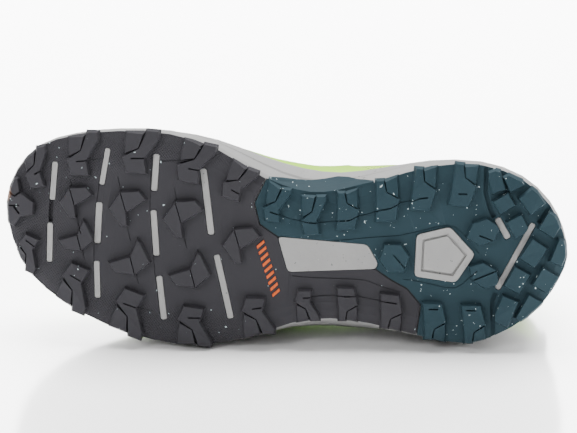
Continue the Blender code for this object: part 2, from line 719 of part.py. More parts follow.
def arch_wing():
    """The rubber that climbs the inner side of the waist, with a foot joined to the plate."""
    bulk = max(row.bulge for row in WALL_TABLE)
    rows = []
    for row in WING_TABLE:
        station = row.station * LENGTH
        index = min(range(1, TOE), key=lambda i: abs(TREAD[i].x - station))
        step = 1 if TREAD[index].x < station else -1
        span = TREAD[index + step].x - TREAD[index].x
        part = (station - TREAD[index].x) / span

        def on_wall(share, out):
            bulge = bulk * min(1.0, share / WALL_TABLE[0].height) + out
            return wall_point(index, share, bulge).lerp(
                wall_point(index + step, share, bulge), part)

        near, far = GAP, GAP + WING_THICKNESS * row.stand
        edge = on_wall(0.0, 0.0)
        foot = Vector((0, -WING_FOOT, edge_lift(WING_FOOT) - EDGE_LIFT))
        below = edge - Vector((0, 0, GAP + PLATE / 4))
        sunk = edge - Vector((0, 0, GAP + PLATE * 0.8))
        out = Vector((0, 1, 0))
        rows.append([
            below + foot, below + out * near,
            on_wall(row.top * 0.25, near), on_wall(row.top * 0.6, near), on_wall(row.top, near),
            on_wall(row.top, far * 0.75), on_wall(row.top * 0.6, far), on_wall(row.top * 0.25, far),
            sunk + out * far, sunk + foot,
        ])
    width = len(rows[0])
    faces = [tuple(range(width)), tuple(range((len(rows) - 1) * width, len(rows) * width))]
    for r in range(len(rows) - 1):
        for c in range(width):
            nxt = (c + 1) % width
            faces.append((r * width + c, r * width + nxt,
                          (r + 1) * width + nxt, (r + 1) * width + c))
    return [p for row in rows for p in row], faces


def forefoot_outsole():
    made = plate("outsole_forefoot", CHARCOAL_RUBBER)
    lugs = [claw_paddle(claw) for claw in FOREFOOT_CLAWS]
    lugs += [s for wedge in INNER_WEDGES for s in wedge_lugs(wedge, INNER_WEDGE_BLOCKS)]
    lugs += [s for wedge in OUTER_WEDGES for s in wedge_lugs(wedge, OUTER_WEDGE_BLOCKS)]
    lugs.append(lug([sole_point(p) for p in TOE_LUG]))
    bars = [claw_bar(claw) for claw in FOREFOOT_CLAWS]
    boolean(made, trimmed("forefoot_lugs", lugs), "UNION", mixed=True)
    boolean(made, joined("forefoot_bars", bars), "UNION", mixed=True)
    boolean(made, zone_cutter("forefoot_zone", True), "INTERSECT")
    slots = [slot_outline(slot, SLOT_GROWTH) for slot in FOREFOOT_SLOTS]
    boolean(made, opening_cutter("forefoot_openings", slots), "DIFFERENCE")
    weld(made)
    return made


def heel_outsole():
    made = plate("outsole_heel", TEAL_RUBBER)
    lugs = [claw_paddle(claw) for claw in HEEL_CLAWS]
    lugs += [block_lug(block) for block in HEEL_BLOCKS]
    lugs += [block_lug(pod, POD_NOSE) for pod in HEEL_PODS]
    bars = [claw_bar(claw) for claw in HEEL_CLAWS]
    boolean(made, trimmed("heel_lugs", lugs), "UNION", mixed=True)
    boolean(made, joined("heel_bars", bars), "UNION", mixed=True)
    boolean(made, joined("arch_wing", [arch_wing()]), "UNION")
    boolean(made, zone_cutter("heel_zone", False), "INTERSECT")
    openings = [slot_outline(slot, SLOT_GROWTH) for slot in HEEL_SLOTS]
    openings.append(rounded([sole_point(p) for p in PAD], PAD_CORNER))
    boolean(made, opening_cutter("heel_openings", openings), "DIFFERENCE")
    weld(made)
    return made


def boss(outline, stand, clearance=GAP):
    """Foam that fills an opening of the tread; stand is how far it comes out of the plate."""
    root = LUG_HEIGHT + PLATE + BOSS_SINK
    return prism(inset_polygon(outline, clearance),
                 lambda p: tip_level(p) + LUG_HEIGHT - stand, lambda p: tip_level(p) + root)


def midsole():
    under = LUG_HEIGHT + PLATE + GAP
    rings = [curled_ring(depth, under) for depth in (EDGE_BAND, 0.0)]
    for row in WALL_TABLE:
        rings.append([wall_point(i, row.height, row.bulge) for i in range(COUNT)])
    rings.append([wall_point(i, 1.0, -RIM_ROUNDING) for i in range(COUNT)])
    rings.append(raised(inset(RIM, RIM_WALL), rim_level))
    rings.append(raised(inset(RIM, RIM_WALL), footbed))
    made = loft("midsole", rings, GREY_FOAM, 40)
    fills = [
        boss(slot_outline(slot, SLOT_GROWTH), -SLOT_RECESS) for slot in FOREFOOT_SLOTS + HEEL_SLOTS
    ]
    window = rounded([sole_point(p) for p in WINDOW], WINDOW_CORNER)
    fills.append(boss(window, 0.0, GAP - SEAM / 2))
    fills.append(boss(rounded([sole_point(p) for p in PAD], PAD_CORNER), PAD_STAND))
    boolean(made, joined("tread_fills", fills), "UNION", mixed=True)
    pad = inset_polygon([sole_point(p) for p in PAD], PAD_MARGIN)
    core = inset_polygon(pad, PAD_GROOVE)
    floor = LUG_HEIGHT - PAD_STAND + PAD_GROOVE_DEPTH
    count = len(pad)
    points = [Vector((p.x, p.y, level)) for level in (-LUG_HEIGHT, floor)
              for loop in (pad, core) for p in loop]
    faces = []
    for i in range(count):
        j = (i + 1) % count
        outer, inner, outer_top, inner_top = 0, count, 2 * count, 3 * count
        faces += [(outer + i, outer + j, inner + j, inner + i),
                  (outer_top + i, outer_top + j, inner_top + j, inner_top + i),
                  (outer + i, outer + j, outer_top + j, outer_top + i),
                  (inner + i, inner + j, inner_top + j, inner_top + i)]
    boolean(made, add_object("pad_groove", points, faces), "DIFFERENCE")
    weld(made)
    return made


def row_value(index, column):
    """A column of UPPER_TABLE at a point of the outline, read straight between its rows."""
    position = min(index, COUNT - index) / PER_SPAN
    low = min(int(position), len(UPPER_TABLE) - 2)
    part = position - low
    a, b = getattr(UPPER_TABLE[low], column), getattr(UPPER_TABLE[low + 1], column)
    return a + (b - a) * part


def opening_loop():
    """The edge of the collar and the throat, point for point with the sole's outline."""
    def corner(row, side):
        across = row.inner if side == INNER else -row.outer
        return Vector((row.station * LENGTH, across * BALL_WIDTH, row.height * TOPLINE_HEIGHT))
    inner = [corner(row, INNER) for row in UPPER_TABLE]
    outer = [corner(row, OUTER) for row in UPPER_TABLE[1:-1]]
    return closed_spline([*inner, *reversed(outer)], PER_SPAN)


def bezier(a, b, c, d, share):
    rest = 1 - share
    return (a * rest ** 3 + b * (3 * rest ** 2 * share)
            + c * (3 * rest * share ** 2) + d * share ** 3)


def upper_surface():
    """Rows of the upper's outer face from the footbed to the opening."""
    foot = inset(RIM, RIM_WALL + GAP)
    opening = opening_loop()
    rows = [[Vector((p.x, p.y, footbed(p.x) + GAP)) for p in foot]]
    starts = [Vector((p.x, p.y, rim_level(p.x) + GAP)) for p in foot]
    for step in range(UPPER_ROWS + 1):
        share = step / UPPER_ROWS
        row = []
        for i in range(COUNT):
            out = Vector((*WALL_NORMALS[i], 0))
            lean = math.radians(row_value(i, "lean_inner" if i < TOE else "lean_outer"))
            drop = math.radians(row_value(i, "drop"))
            rise = row_value(i, "rise") * TOPLINE_HEIGHT
            reach = row_value(i, "reach") * TOPLINE_HEIGHT
            leave = starts[i] + (out * math.sin(lean) + Vector((0, 0, math.cos(lean)))) * rise
            arrive = opening[i] + (out * math.cos(drop) - Vector((0, 0, math.sin(drop)))) * reach
            row.append(bezier(starts[i], leave, arrive, opening[i], share))
        rows.append(row)
    return rows


def surface_normals(rows):
    """Outward directions of a grid of rings, level on the first two rows."""
    found = []
    for r, row in enumerate(rows):
        line = []
        for i in range(COUNT):
            if r < 1:
                line.append(Vector((*WALL_NORMALS[i], 0)))
                continue
            around = row[(i + 1) % COUNT] - row[i - 1]
            up = rows[min(r + 1, len(rows) - 1)][i] - rows[max(r - 1, 1)][i]
            normal = up.cross(around).normalized()
            line.append(normal)
        found.append(line)
    return found


OUTER_FACE = upper_surface()
OUTER_NORMALS = surface_normals(OUTER_FACE)
LAST = len(OUTER_FACE) - 1


def wall_thickness(row, index):
    """The upper's wall, padded around the collar."""
    last = (COLLAR_ROWS - 1) * PER_SPAN
    collar = smooth_share((last - min(index, COUNT - index)) / (2 * PER_SPAN))
    near_edge = smooth_share((row - LAST / 2) / (LAST / 2 - 1))
    return WALL + COLLAR_PADDING * collar * near_edge


def inner_face():
    """Rows of the upper's inner face."""
    return [
        [p - n * wall_thickness(r, i)
         for i, (p, n) in enumerate(zip(OUTER_FACE[r], OUTER_NORMALS[r]))]
        for r in range(LAST + 1)
    ]


INNER_FACE = inner_face()


def upper():
    lip = []
    for i in range(COUNT):
        outside, inside = OUTER_FACE[LAST][i], INNER_FACE[LAST][i]
        up = (OUTER_FACE[LAST][i] - OUTER_FACE[LAST - 1][i]).normalized()
        lip.append((outside + inside) / 2 + up * (outside - inside).length * 0.32)
    lining = [INNER_FACE[r] for r in range(LAST + 1) if r < 2 or (LAST - r) % 2 == 1 or r == LAST]
    rings = [*OUTER_FACE, lip, *reversed(lining)]
    points = [p for ring in rings for p in ring]
    faces = ring_faces(len(rings), COUNT)
    last = (len(rings) - 1) * COUNT
    for i in range(COUNT):
        j = (i + 1) % COUNT
        faces.append((i, j, last + j, last + i))
    made = add_object("upper", points, faces, LIME_MESH, 50)
    boolean(made, eyelet_holes("upper_punches"), "DIFFERENCE")
    return made


def shell(name, outside, inside, faces, finish):
    """A closed thin piece from its outer and inner points and the faces between the outer ones."""
    under = len(outside)
    edges = {(a, b) for face in faces for a, b in zip(face, face[1:] + face[:1])}
    closed = faces + [tuple(under + index for index in face) for face in faces]
    closed += [(a, b, under + b, under + a) for a, b in edges if (b, a) not in edges]
    return add_object(name, outside + inside, closed, finish, 50)


def overlay(name, spans, finish):
    """A thin piece over the upper; spans lists its columns as outline index, low and high row."""
    places = {}
    faces = []
    for index, low, high in spans:
        for r in range(low, high + 1):
            places[(index, r)] = len(places)
    for (i, i_low, i_high), (j, j_low, j_high) in zip(spans, spans[1:]):
        low, high = max(i_low, j_low), min(i_high, j_high)
        for r in range(low, high):
            faces.append([(i, r), (j, r), (j, r + 1), (i, r + 1)])
        if i_high > high:
            faces.append([(i, high), (j, high)] + [(i, r) for r in range(i_high, high, -1)])
        if j_high > high:
            faces.append([(i, high)] + [(j, r) for r in range(high, j_high + 1)])
        if i_low < low:
            faces.append([(j, low)] + [(i, r) for r in range(low, i_low - 1, -1)])
        if j_low < low:
            faces.append([(i, low)] + [(j, r) for r in range(j_low, low + 1)])

    def lifted(out):
        return [
            OUTER_FACE[r][i % COUNT] + OUTER_NORMALS[r][i % COUNT] * out for i, r in places
        ]

    numbered = [tuple(places[place] for place in face) for face in faces]
    return shell(name, lifted(GAP + OVERLAY), lifted(GAP), numbered, finish)


def wrapped_spans(middle, tops):
    """Columns on both sides of the middle, from the rim up to tops, listed from it outwards."""
    reach = len(tops) - 1
    return [(middle + step, 1, tops[abs(step)]) for step in range(-reach, reach + 1)]


def eyelet_holes(name):
    """Round punches through the eyestay and the upper."""
    shapes = []
    for row in EYELET_ROWS:
        for index in (row, -row):
            place, normal = eyelet(index)
            along = normal.orthogonal().normalized()
            across = normal.cross(along)
            ring = [
                along * math.cos(math.tau * k / EYELET_SIDES) * EYELET_HOLE / 2
                + across * math.sin(math.tau * k / EYELET_SIDES) * EYELET_HOLE / 2
                for k in range(EYELET_SIDES)
            ]
            ends = [place + p + normal * WALL for p in ring]
            ends += [place + p - normal * (3 * WALL + OVERLAY) for p in ring]
            faces = [tuple(range(EYELET_SIDES)), tuple(range(EYELET_SIDES, 2 * EYELET_SIDES))]
            for k in range(EYELET_SIDES):
                j = (k + 1) % EYELET_SIDES
                faces.append((k, j, EYELET_SIDES + j, EYELET_SIDES + k))
            shapes.append((ends, faces))
    return joined(name, shapes)


def toe_bumper():
    return overlay("toe_bumper", wrapped_spans(TOE, TOE_BUMPER_TOPS), DARK_FILM)


def heel_counter():
    return overlay("heel_counter", wrapped_spans(0, HEEL_COUNTER_TOPS), DARK_FILM)


def eyestay():
    first = COLLAR_ROWS * PER_SPAN
    spans = []
    for index in range(first, COUNT - first + 1):
        depth = 1 if index in (first, COUNT - first) else EYESTAY_ROWS
        spans.append((index, LAST - depth, LAST))
    made = overlay("eyestay", spans, LIME_FILM)
    boolean(made, eyelet_holes("eyestay_punches"), "DIFFERENCE")
    return made


def sheet(name, rows, thickness, finish):
    """A closed sheet: rows of points for its upper face, thickened downwards along its normals."""
    height, width = len(rows), len(rows[0])
    lower = []
    faces = []
    for r in range(height):
        for c in range(width):
            along = rows[min(r + 1, height - 1)][c] - rows[max(r - 1, 0)][c]
            across = rows[r][min(c + 1, width - 1)] - rows[r][max(c - 1, 0)]
            normal = along.cross(across).normalized()
            if normal.z < 0:
                normal = -normal
            lower.append(rows[r][c] - normal * thickness(r, c))
            if r and c:
                corner = r * width + c
                faces.append((corner - width - 1, corner - width, corner, corner - 1))
    return shell(name, [p for line in rows for p in line], lower, faces, finish)


def tongue_rows():
    """The tongue's outer face: rows across, from under the vamp to the tab above the collar."""
    def under(r, i):
        i %= COUNT
        return INNER_FACE[r][i] - OUTER_NORMALS[r][i] * TONGUE_GAP

    front = TOE - 2
    tip = [under(LAST - 3, front), under(LAST - 3, front).lerp(under(LAST - 3, front + 1), 0.5),
           under(LAST - 3, front + 1), under(LAST - 3, TOE), under(LAST - 3, TOE + 1),
           under(LAST - 3, TOE + 1).lerp(under(LAST - 3, TOE + 2), 0.5),
           under(LAST - 3, TOE + 2)]
    rows = [[p - Vector((0, 0, 1.5 * TONGUE_GAP)) for p in tip]]
    corner = COLLAR_ROWS * PER_SPAN
    for i in range(front, corner - 1, -1):
        m1, m0 = under(LAST - 1, i), under(LAST, i)
        l1, l0 = under(LAST - 1, -i), under(LAST, -i)
        crown = TONGUE_CROWN * smooth_share((front - 1 - i) / 6) - 2 * GAP
        top = (m0 + l0) / 2 + Vector((0, 0, crown))
        q1 = m0.lerp(l0, 0.22) + Vector((0, 0, crown * 0.72))
        q3 = m0.lerp(l0, 0.78) + Vector((0, 0, crown * 0.72))
        rows.append([m1, m0, q1, top, q3, l0, l1])
    end, before = rows[-1], rows[-4]
    back = (end[3] - before[3]).normalized()
    rise = (back + Vector((0, 0, 0.45))).normalized()
    centre = end[3]
    for share, width in ((0.22, 0.70), (0.5, 0.77), (0.8, 0.75), (0.94, 0.62), (1.0, 0.42)):
        moved = []
        for p in end:
            across = p - centre
            drop = Vector((across.x, across.y * width, across.z * width * width))
            moved.append(centre + drop + rise * TONGUE_TAB * share)
        rows.append(moved)
    return rows


TONGUE_ROWS = tongue_rows()


def tongue():
    last = len(TONGUE_ROWS) - 1

    def thickness(r, c):
        thin = 0.45 if c in (0, 6) or r in (0, last) else 1.0
        return TONGUE_THICKNESS * thin

    return sheet("tongue", TONGUE_ROWS, thickness, TEAL_TEXTILE)


def insole():
    edge = RIM_WALL + 2 * GAP + WALL
    low = raised(inset(RIM, edge + 0.5 * GAP), lambda s: footbed(s) + GAP)
    high = raised(inset(RIM, edge + 0.5 * GAP), lambda s: footbed(s) + GAP + INSOLE_THICKNESS
                  + INSOLE_CUP * smooth_share((TOE_SPRING_START * LENGTH - s) / (LENGTH / 3)))
    bed = raised(inset(RIM, edge + EDGE_BAND), lambda s: footbed(s) + GAP + INSOLE_THICKNESS)
    return loft("insole", [low, high, bed], TEAL_TEXTILE, 50)


def eyelet(index):
    """A lace's place over an eyelet and the upper's outward direction there."""
    i = index % COUNT
    edge, below = OUTER_FACE[LAST][i], OUTER_FACE[LAST - 1][i]
    normal = OUTER_NORMALS[LAST][i].lerp(OUTER_NORMALS[LAST - 1][i], EYELET_SETBACK).normalized()
    lift = GAP + OVERLAY + LACE_CLEARANCE + LACE_THICKNESS / 2
    return edge.lerp(below, EYELET_SETBACK) + normal * lift, normal


def throat_edge(position):
    """A lace's place over the throat's edge; position may lie between two outline points."""
    low = math.floor(position)
    part = position - low
    i, j = low % COUNT, (low + 1) % COUNT
    lift = GAP + OVERLAY + LACE_CLEARANCE + LACE_THICKNESS / 2 + 2 * GAP
    normal = OUTER_NORMALS[LAST][i].lerp(OUTER_NORMALS[LAST][j], part).normalized()
    return OUTER_FACE[LAST][i].lerp(OUTER_FACE[LAST][j], part) + normal * lift, normal


def lace_bar(first, second, over=0.0):
    """A flat lace from an eyelet on the inner side to one on the outer side, raised by over."""
    start, start_normal = eyelet(first)
    end, end_normal = eyelet(-second)
    near, near_normal = throat_edge(first + (second - first) * 0.3)
    far, far_normal = throat_edge(-(first + (second - first) * 0.7))
    up = Vector((0, 0, 1))
    crown = TONGUE_CROWN * 0.9
    places = [(start, start_normal), (near, near_normal)]
    places.append((near.lerp(far, 0.5) + up * crown, up))
    places += [(far, far_normal), (end, end_normal)]
    points = []
    for k, (place, normal) in enumerate(places):
        before, after = places[max(k - 1, 0)][0], places[min(k + 1, len(places) - 1)][0]
        along = (after - before).normalized()
        across = along.cross(normal).normalized()
        lift = across.cross(along).normalized()
        for side, top in ((1, 1), (-1, 1), (-1, -1), (1, -1)):
            points.append(place + across * side * LACE_WIDTH / 2
                          + lift * (top * LACE_THICKNESS / 2 + over))
    count = len(places)
    faces = ring_lines(count)
    faces += [tuple(range(LACE_SIDES)),
              tuple(range((count - 1) * LACE_SIDES, count * LACE_SIDES))]
    return points, faces


def ring_lines(count):
    """Quads along a tube of LACE_SIDES sides."""
    faces = []
    for r in range(count - 1):
        for c in range(LACE_SIDES):
            nxt = (c + 1) % LACE_SIDES
            faces.append((r * LACE_SIDES + c, r * LACE_SIDES + nxt,
                          (r + 1) * LACE_SIDES + nxt, (r + 1) * LACE_SIDES + c))
    return faces


def laces():
    """Crossed bars from eyelet to eyelet, joined where they meet."""
    lowest = EYELET_ROWS[-1]
    points, faces = lace_bar(lowest, lowest)
    made = add_object("laces", points, faces, CORD, 50)
    rising = []
    falling = []
    for upper_row, lower_row in zip(EYELET_ROWS, EYELET_ROWS[1:]):
        rising.append(lace_bar(lower_row, upper_row, LACE_OVER))
        falling.append(lace_bar(upper_row, lower_row, 2 * LACE_OVER))
    boolean(made, joined("laces_rising", rising), "UNION", mixed=True)
    boolean(made, joined("laces_falling", falling), "UNION", mixed=True)
    return made


def evaluated_points(pieces):
    """The corners of finished pieces in the shoe's frame, and their shared centre of volume."""
    view = bpy.context.evaluated_depsgraph_get()
    points, volume, moment = [], 0.0, Vector((0, 0, 0))
    for piece in pieces:
        mesh = piece.evaluated_get(view).to_mesh()
        shape = bmesh.new()
        shape.from_mesh(mesh)
        bmesh.ops.triangulate(shape, faces=shape.faces)
        for face in shape.faces:
            a, b, c = (v.co.copy() for v in face.verts)
            part = a.dot(b.cross(c)) / 6
            volume += part
            moment += (a + b + c) / 4 * part
        points += [v.co.copy() for v in shape.verts]
        shape.free()
    return points, moment / volume


def resting_turn(points, centre):
    """The turn that lays the shoe on its outer side, on the face of its hull below its weight."""
    standing = Matrix(((-1, 0, 0), (0, 0, 1), (0, 1, 0)))
    hull = bmesh.new()
    for point in points:
        hull.verts.new(point)
    bmesh.ops.convex_hull(hull, input=hull.verts)
    down = Vector((0, -1, 0))
    best, chosen = -2.0, down
    for face in hull.faces:
        normal = face.normal.copy()
        if normal.length < 0.5:
            continue
        if (face.verts[0].co - centre).dot(normal) < 0:
            normal = -normal
        foot = centre + normal * (face.verts[0].co - centre).dot(normal)
        corners = [v.co.copy() for v in face.verts]
        signs = [
            (b - a).cross(foot - a).dot(normal) for a, b in zip(corners, corners[1:] + corners[:1])
        ]
        within = all(s >= 0 for s in signs) or all(s <= 0 for s in signs)
        if within and normal.dot(down) > best:
            best, chosen = normal.dot(down), normal
    hull.free()
    floor = standing @ chosen
    level = floor.rotation_difference(Vector((0, 0, -1))).to_matrix()
    return level @ standing


def lay_down(pieces):
    """Hangs every piece on one empty that turns the shoe and sets it on the floor."""
    holder = bpy.data.objects.new("resting_shoe", None)
    bpy.context.scene.collection.objects.link(holder)
    bpy.context.view_layer.update()
    points, centre = evaluated_points(pieces)
    turn = resting_turn(points, centre)
    moved = [turn @ p for p in points]
    lows = [min(p[axis] for p in moved) for axis in range(3)]
    highs = [max(p[axis] for p in moved) for axis in range(3)]
    middle = Vector(((lows[0] + highs[0]) / 2, (lows[1] + highs[1]) / 2, lows[2]))
    holder.matrix_world = Matrix.Translation(-middle) @ turn.to_4x4()
    for item in bpy.context.scene.objects:
        if item is not holder:
            item.parent = holder
    bpy.context.view_layer.update()


def build():
    clear_scene()
    pieces = [
        forefoot_outsole(), heel_outsole(), midsole(), upper(), tongue(), insole(),
        eyestay(), toe_bumper(), heel_counter(), laces(),
    ]
    lay_down(pieces)


build()
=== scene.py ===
"""Looks of the right trail running shoe that lies on its outer side, tread to the camera.

Shapes are worked out in the shoe's own frame: X from the heel to the toe, Y towards the inner
(big toe) side, Z up from the ground under the lugs. POSE takes them to the frame of the model.
"""

import json
import math
from collections import namedtuple

import bmesh
import bpy
from mathutils import Matrix, Vector


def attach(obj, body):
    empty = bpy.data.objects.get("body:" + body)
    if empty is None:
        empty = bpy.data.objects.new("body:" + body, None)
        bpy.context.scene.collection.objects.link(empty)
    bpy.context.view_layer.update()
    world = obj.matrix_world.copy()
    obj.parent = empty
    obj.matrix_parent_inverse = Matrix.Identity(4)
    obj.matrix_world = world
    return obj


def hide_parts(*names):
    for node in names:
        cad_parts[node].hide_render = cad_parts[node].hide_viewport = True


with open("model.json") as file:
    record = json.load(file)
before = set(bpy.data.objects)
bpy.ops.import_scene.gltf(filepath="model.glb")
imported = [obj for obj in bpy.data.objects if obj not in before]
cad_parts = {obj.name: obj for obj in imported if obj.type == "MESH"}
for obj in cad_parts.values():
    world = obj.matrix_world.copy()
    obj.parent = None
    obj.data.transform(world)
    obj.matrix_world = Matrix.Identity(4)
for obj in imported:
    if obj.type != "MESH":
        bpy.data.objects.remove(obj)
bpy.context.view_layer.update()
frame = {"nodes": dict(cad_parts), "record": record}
NODES = frame["nodes"]

MM = 0.001
LENGTH = 297 * MM
BALL_WIDTH = 109 * MM
TOPLINE_HEIGHT = 101 * MM
LUG_HEIGHT = 4.0 * MM
GAP = 0.3 * MM
RIM_WALL = 3.2 * MM
WALL = 2.2 * MM
COLLAR_PADDING = 4.6 * MM
OVERLAY = 1.1 * MM
TOE_SPRING = 11 * MM
TOE_SPRING_START = 0.66
EDGE_LIFT = 1.6 * MM
EDGE_BAND = 9 * MM
HEEL_SPRING = 4.5 * MM
HEEL_SPRING_END = 0.11
FOOTBED_HEEL = 31 * MM
FOOTBED_BALL = 24.5 * MM
FOOTBED_FALL_START = 0.20
FOOTBED_FALL_END = 0.62
TOE_THINNING = 0.85
RIM_HEIGHT_HEEL = 9 * MM
RIM_HEIGHT_BALL = 5.5 * MM
INSOLE_THICKNESS = 4 * MM
INSOLE_CUP = 3 * MM
TONGUE_GAP = 0.9 * MM
TONGUE_THICKNESS = 4.2 * MM
TONGUE_CROWN = 2.6 * MM
TONGUE_TAB = 24 * MM
LACE_WIDTH = 5.4 * MM
LACE_THICKNESS = 1.7 * MM
CORD_SIDES = 14
EYELET_SETBACK = 0.75
EYELET_HOLE = 4.4 * MM
COLLAR_ROWS = 8
EYELET_ROWS = (17, 19, 21, 23, 25, 27)
EYELETS = [index for row in EYELET_ROWS for index in (row, -row)]

# Spots of the two flat faces that the model's mounts name, in the shoe's frame
HEEL_SPOT = Vector((0.308 * LENGTH, -0.070 * BALL_WIDTH, 0.0))
FOREFOOT_SPOT = Vector((0.591 * LENGTH - 0.39 * 17.5 * MM, 0.005 * BALL_WIDTH - 0.155 * 17.5 * MM, 0.0))

# Sole outline: station as a share of LENGTH, the rest as shares of BALL_WIDTH out from the middle
EdgeRow = namedtuple("EdgeRow", "station tread_inner rim_inner tread_outer rim_outer")
EDGE_TABLE = [EdgeRow(*row) for row in (
    (0.012, 0.101, 0.114, 0.116, 0.112),
    (0.039, 0.228, 0.236, 0.246, 0.232),
    (0.091, 0.343, 0.342, 0.372, 0.346),
    (0.165, 0.399, 0.391, 0.464, 0.434),
    (0.253, 0.374, 0.379, 0.444, 0.454),
    (0.337, 0.292, 0.330, 0.404, 0.473),
    (0.411, 0.213, 0.297, 0.394, 0.470),
    (0.478, 0.192, 0.308, 0.430, 0.486),
    (0.549, 0.264, 0.350, 0.512, 0.520),
    (0.633, 0.381, 0.410, 0.566, 0.541),
    (0.717, 0.435, 0.434, 0.566, 0.536),
    (0.808, 0.430, 0.419, 0.508, 0.482),
    (0.886, 0.391, 0.378, 0.416, 0.400),
    (0.946, 0.326, 0.310, 0.304, 0.290),
    (0.985, 0.198, 0.188, 0.138, 0.130),
)]
HEEL_TIP = (0.002, -0.018)
HEEL_RIM_TIP = (0.0, -0.018)
TOE_TIP = (1.0, 0.040)
TOE_RIM_TIP = (0.995, 0.038)

# Opening of the upper and how its wall leaves the rim and reaches the opening
UpperRow = namedtuple("UpperRow", "station inner outer height lean_inner lean_outer rise drop reach")
UPPER_TABLE = [UpperRow(*row) for row in (
    (0.024, -0.018, 0.018, 0.985, 14, 14, 0.26, 104, 0.24),
    (0.029, 0.073, 0.110, 0.975, 13, 13, 0.25, 102, 0.22),
    (0.048, 0.160, 0.195, 0.925, 11, 11, 0.23, 99, 0.18),
    (0.091, 0.248, 0.284, 0.820, 8, 8, 0.19, 92, 0.12),
    (0.155, 0.298, 0.335, 0.742, 6, 6, 0.15, 84, 0.10),
    (0.229, 0.305, 0.344, 0.722, 12, 7, 0.14, 80, 0.10),
    (0.303, 0.275, 0.330, 0.785, 34, 9, 0.16, 74, 0.12),
    (0.357, 0.206, 0.284, 0.895, 42, 12, 0.19, 62, 0.15),
    (0.387, 0.130, 0.220, 1.000, 23, 15, 0.22, 50, 0.17),
    (0.451, 0.105, 0.188, 0.940, 11, 18, 0.25, 42, 0.18),
    (0.519, 0.095, 0.165, 0.862, 7, 20, 0.27, 36, 0.19),
    (0.586, 0.083, 0.142, 0.782, 8, 20, 0.27, 31, 0.20),
    (0.643, 0.073, 0.124, 0.722, 8, 18, 0.25, 26, 0.21),
    (0.684, 0.062, 0.106, 0.685, 8, 14, 0.24, 21, 0.25),
    (0.711, 0.044, 0.078, 0.664, 8, 8, 0.23, 18, 0.31),
    (0.724, 0.017, 0.046, 0.654, 8, 8, 0.25, 16, 0.38),
    (0.728, -0.014, 0.014, 0.651, 8, 8, 0.26, 15, 0.42),
)]

# Narrow cuts in the lugs, in mm: lines of station and side
LUG_CUTS = (
    ((283.4, 20.3), (279.4, 22.9)), ((261.5, 29.1), (253.8, 30.5)), ((232.8, 33.3), (223.8, 34.1)),
    ((202.4, 30.6), (196.9, 30.0)), ((179.3, 21.4), (174.8, 19.4)), ((285.6, -14.9), (279.9, -18.2)),
    ((260.5, -30.9), (254.6, -33.6)), ((231.5, -43.0), (224.6, -44.8)), ((196.8, -47.8), (190.1, -47.4)),
    ((163.5, -40.4), (158.6, -39.3)), ((137.5, -32.4), (133.3, -31.9)), ((116.3, -29.9), (112.9, -29.7)),
    ((93.9, -31.0), (88.3, -31.4)), ((158.3, 11.4), (154.2, 10.4)), ((137.3, 7.3), (132.3, 7.5)),
    ((121.5, 9.5), (116.6, 10.2)), ((100.6, 17.0), (95.6, 18.3)), ((81.5, 24.4), (76.7, 25.5)),
    ((61.1, 28.7), (56.6, 29.0)), ((71.5, -33.0), (66.5, -32.6)), ((51.7, -32.0), (46.9, -31.7)),
    ((92.1, -5.9), (85.4, -12.5)), ((48.4, 7.9), (38.9, 5.1)), ((50.3, -16.2), (37.1, -9.6)),
    ((296.3, 2.4), (290.4, 3.2)),
)
# Grooves that part the blocks of the toe tip, and the wide flex grooves of the plate, in mm
TOE_CUTS = (
    ((297.4, 10.0), (293.4, 7.8), (290.5, 10.2)), ((293.4, 2.3), (290.1, -1.2)),
)
FLEX_GROOVES = (
    ((47.6, 44.5), (46.9, 30.5), (43.8, 21.9), (41.2, 17.6)),
    ((37.2, -22.0), (38.4, -26.0), (38.0, -31.2), (36.2, -46.5)),
    ((273.5, 7.6), (273.6, 1.8), (273.3, -4.2)),
    ((17.9, 16.4), (11.4, 27.6)),
)
# Thin mould lines of the plate, in mm
MOULD_LINES = (
    ((154.2, 10.4), (147.6, 8.4), (137.3, 7.3)), ((132.3, 7.5), (121.5, 9.5)),
    ((116.6, 10.2), (112.9, 12.4), (106.3, 14.4), (100.6, 17.0)),
    ((95.6, 18.3), (90.3, 21.6), (83.6, 23.2), (81.5, 24.4)),
    ((151.6, -1.1), (142.1, -2.3), (125.3, -1.7), (105.3, 1.9), (90.2, 4.1), (81.8, 6.6), (71.2, 10.2),
     (65.2, 11.6), (61.1, 11.0), (56.8, 8.1), (47.6, -1.8)),
    ((86.0, -18.6), (80.4, -18.8), (72.2, -19.8), (64.0, -21.1), (58.6, -21.0),
     (54.8, -18.7), (48.0, -10.8)),
    ((133.3, -31.9), (126.4, -30.4), (117.7, -29.7), (116.3, -29.9)),
    ((112.9, -29.7), (108.9, -29.3), (102.8, -30.3), (93.9, -31.0)),
    ((144.0, -21.6), (133.8, -21.6), (110.4, -20.6), (105.0, -20.8), (96.5, -23.4), (86.6, -25.5)),
    ((253.8, 30.5), (248.4, 31.7)), ((217.0, 32.9), (207.0, 34.4), (200.0, 35.9)),
    ((224.6, -44.8), (215.2, -46.3)),
    ((248.8, 19.0), (249.4, 9.1), (249.6, -1.7), (249.4, -12.5), (248.7, -22.1), (247.2, -40.9)),
    ((222.4, 36.5), (221.6, 18.0), (221.0, 7.3), (218.9, -6.0), (217.2, -18.7),
     (215.2, -30.3), (212.4, -44.0)),
    ((264.3, 19.2), (263.4, 15.6)), ((259.4, 0.8), (258.4, -3.9), (256.2, -8.6)),
    ((255.2, -17.6), (253.9, -22.0)),
    ((239.2, 22.9), (237.3, 16.6)), ((232.2, -3.6), (230.0, -10.2)), ((225.8, -27.4), (224.2, -32.4)),
    ((209.2, 19.6), (207.4, 13.6)), ((201.9, -6.4), (200.2, -11.6)),
)
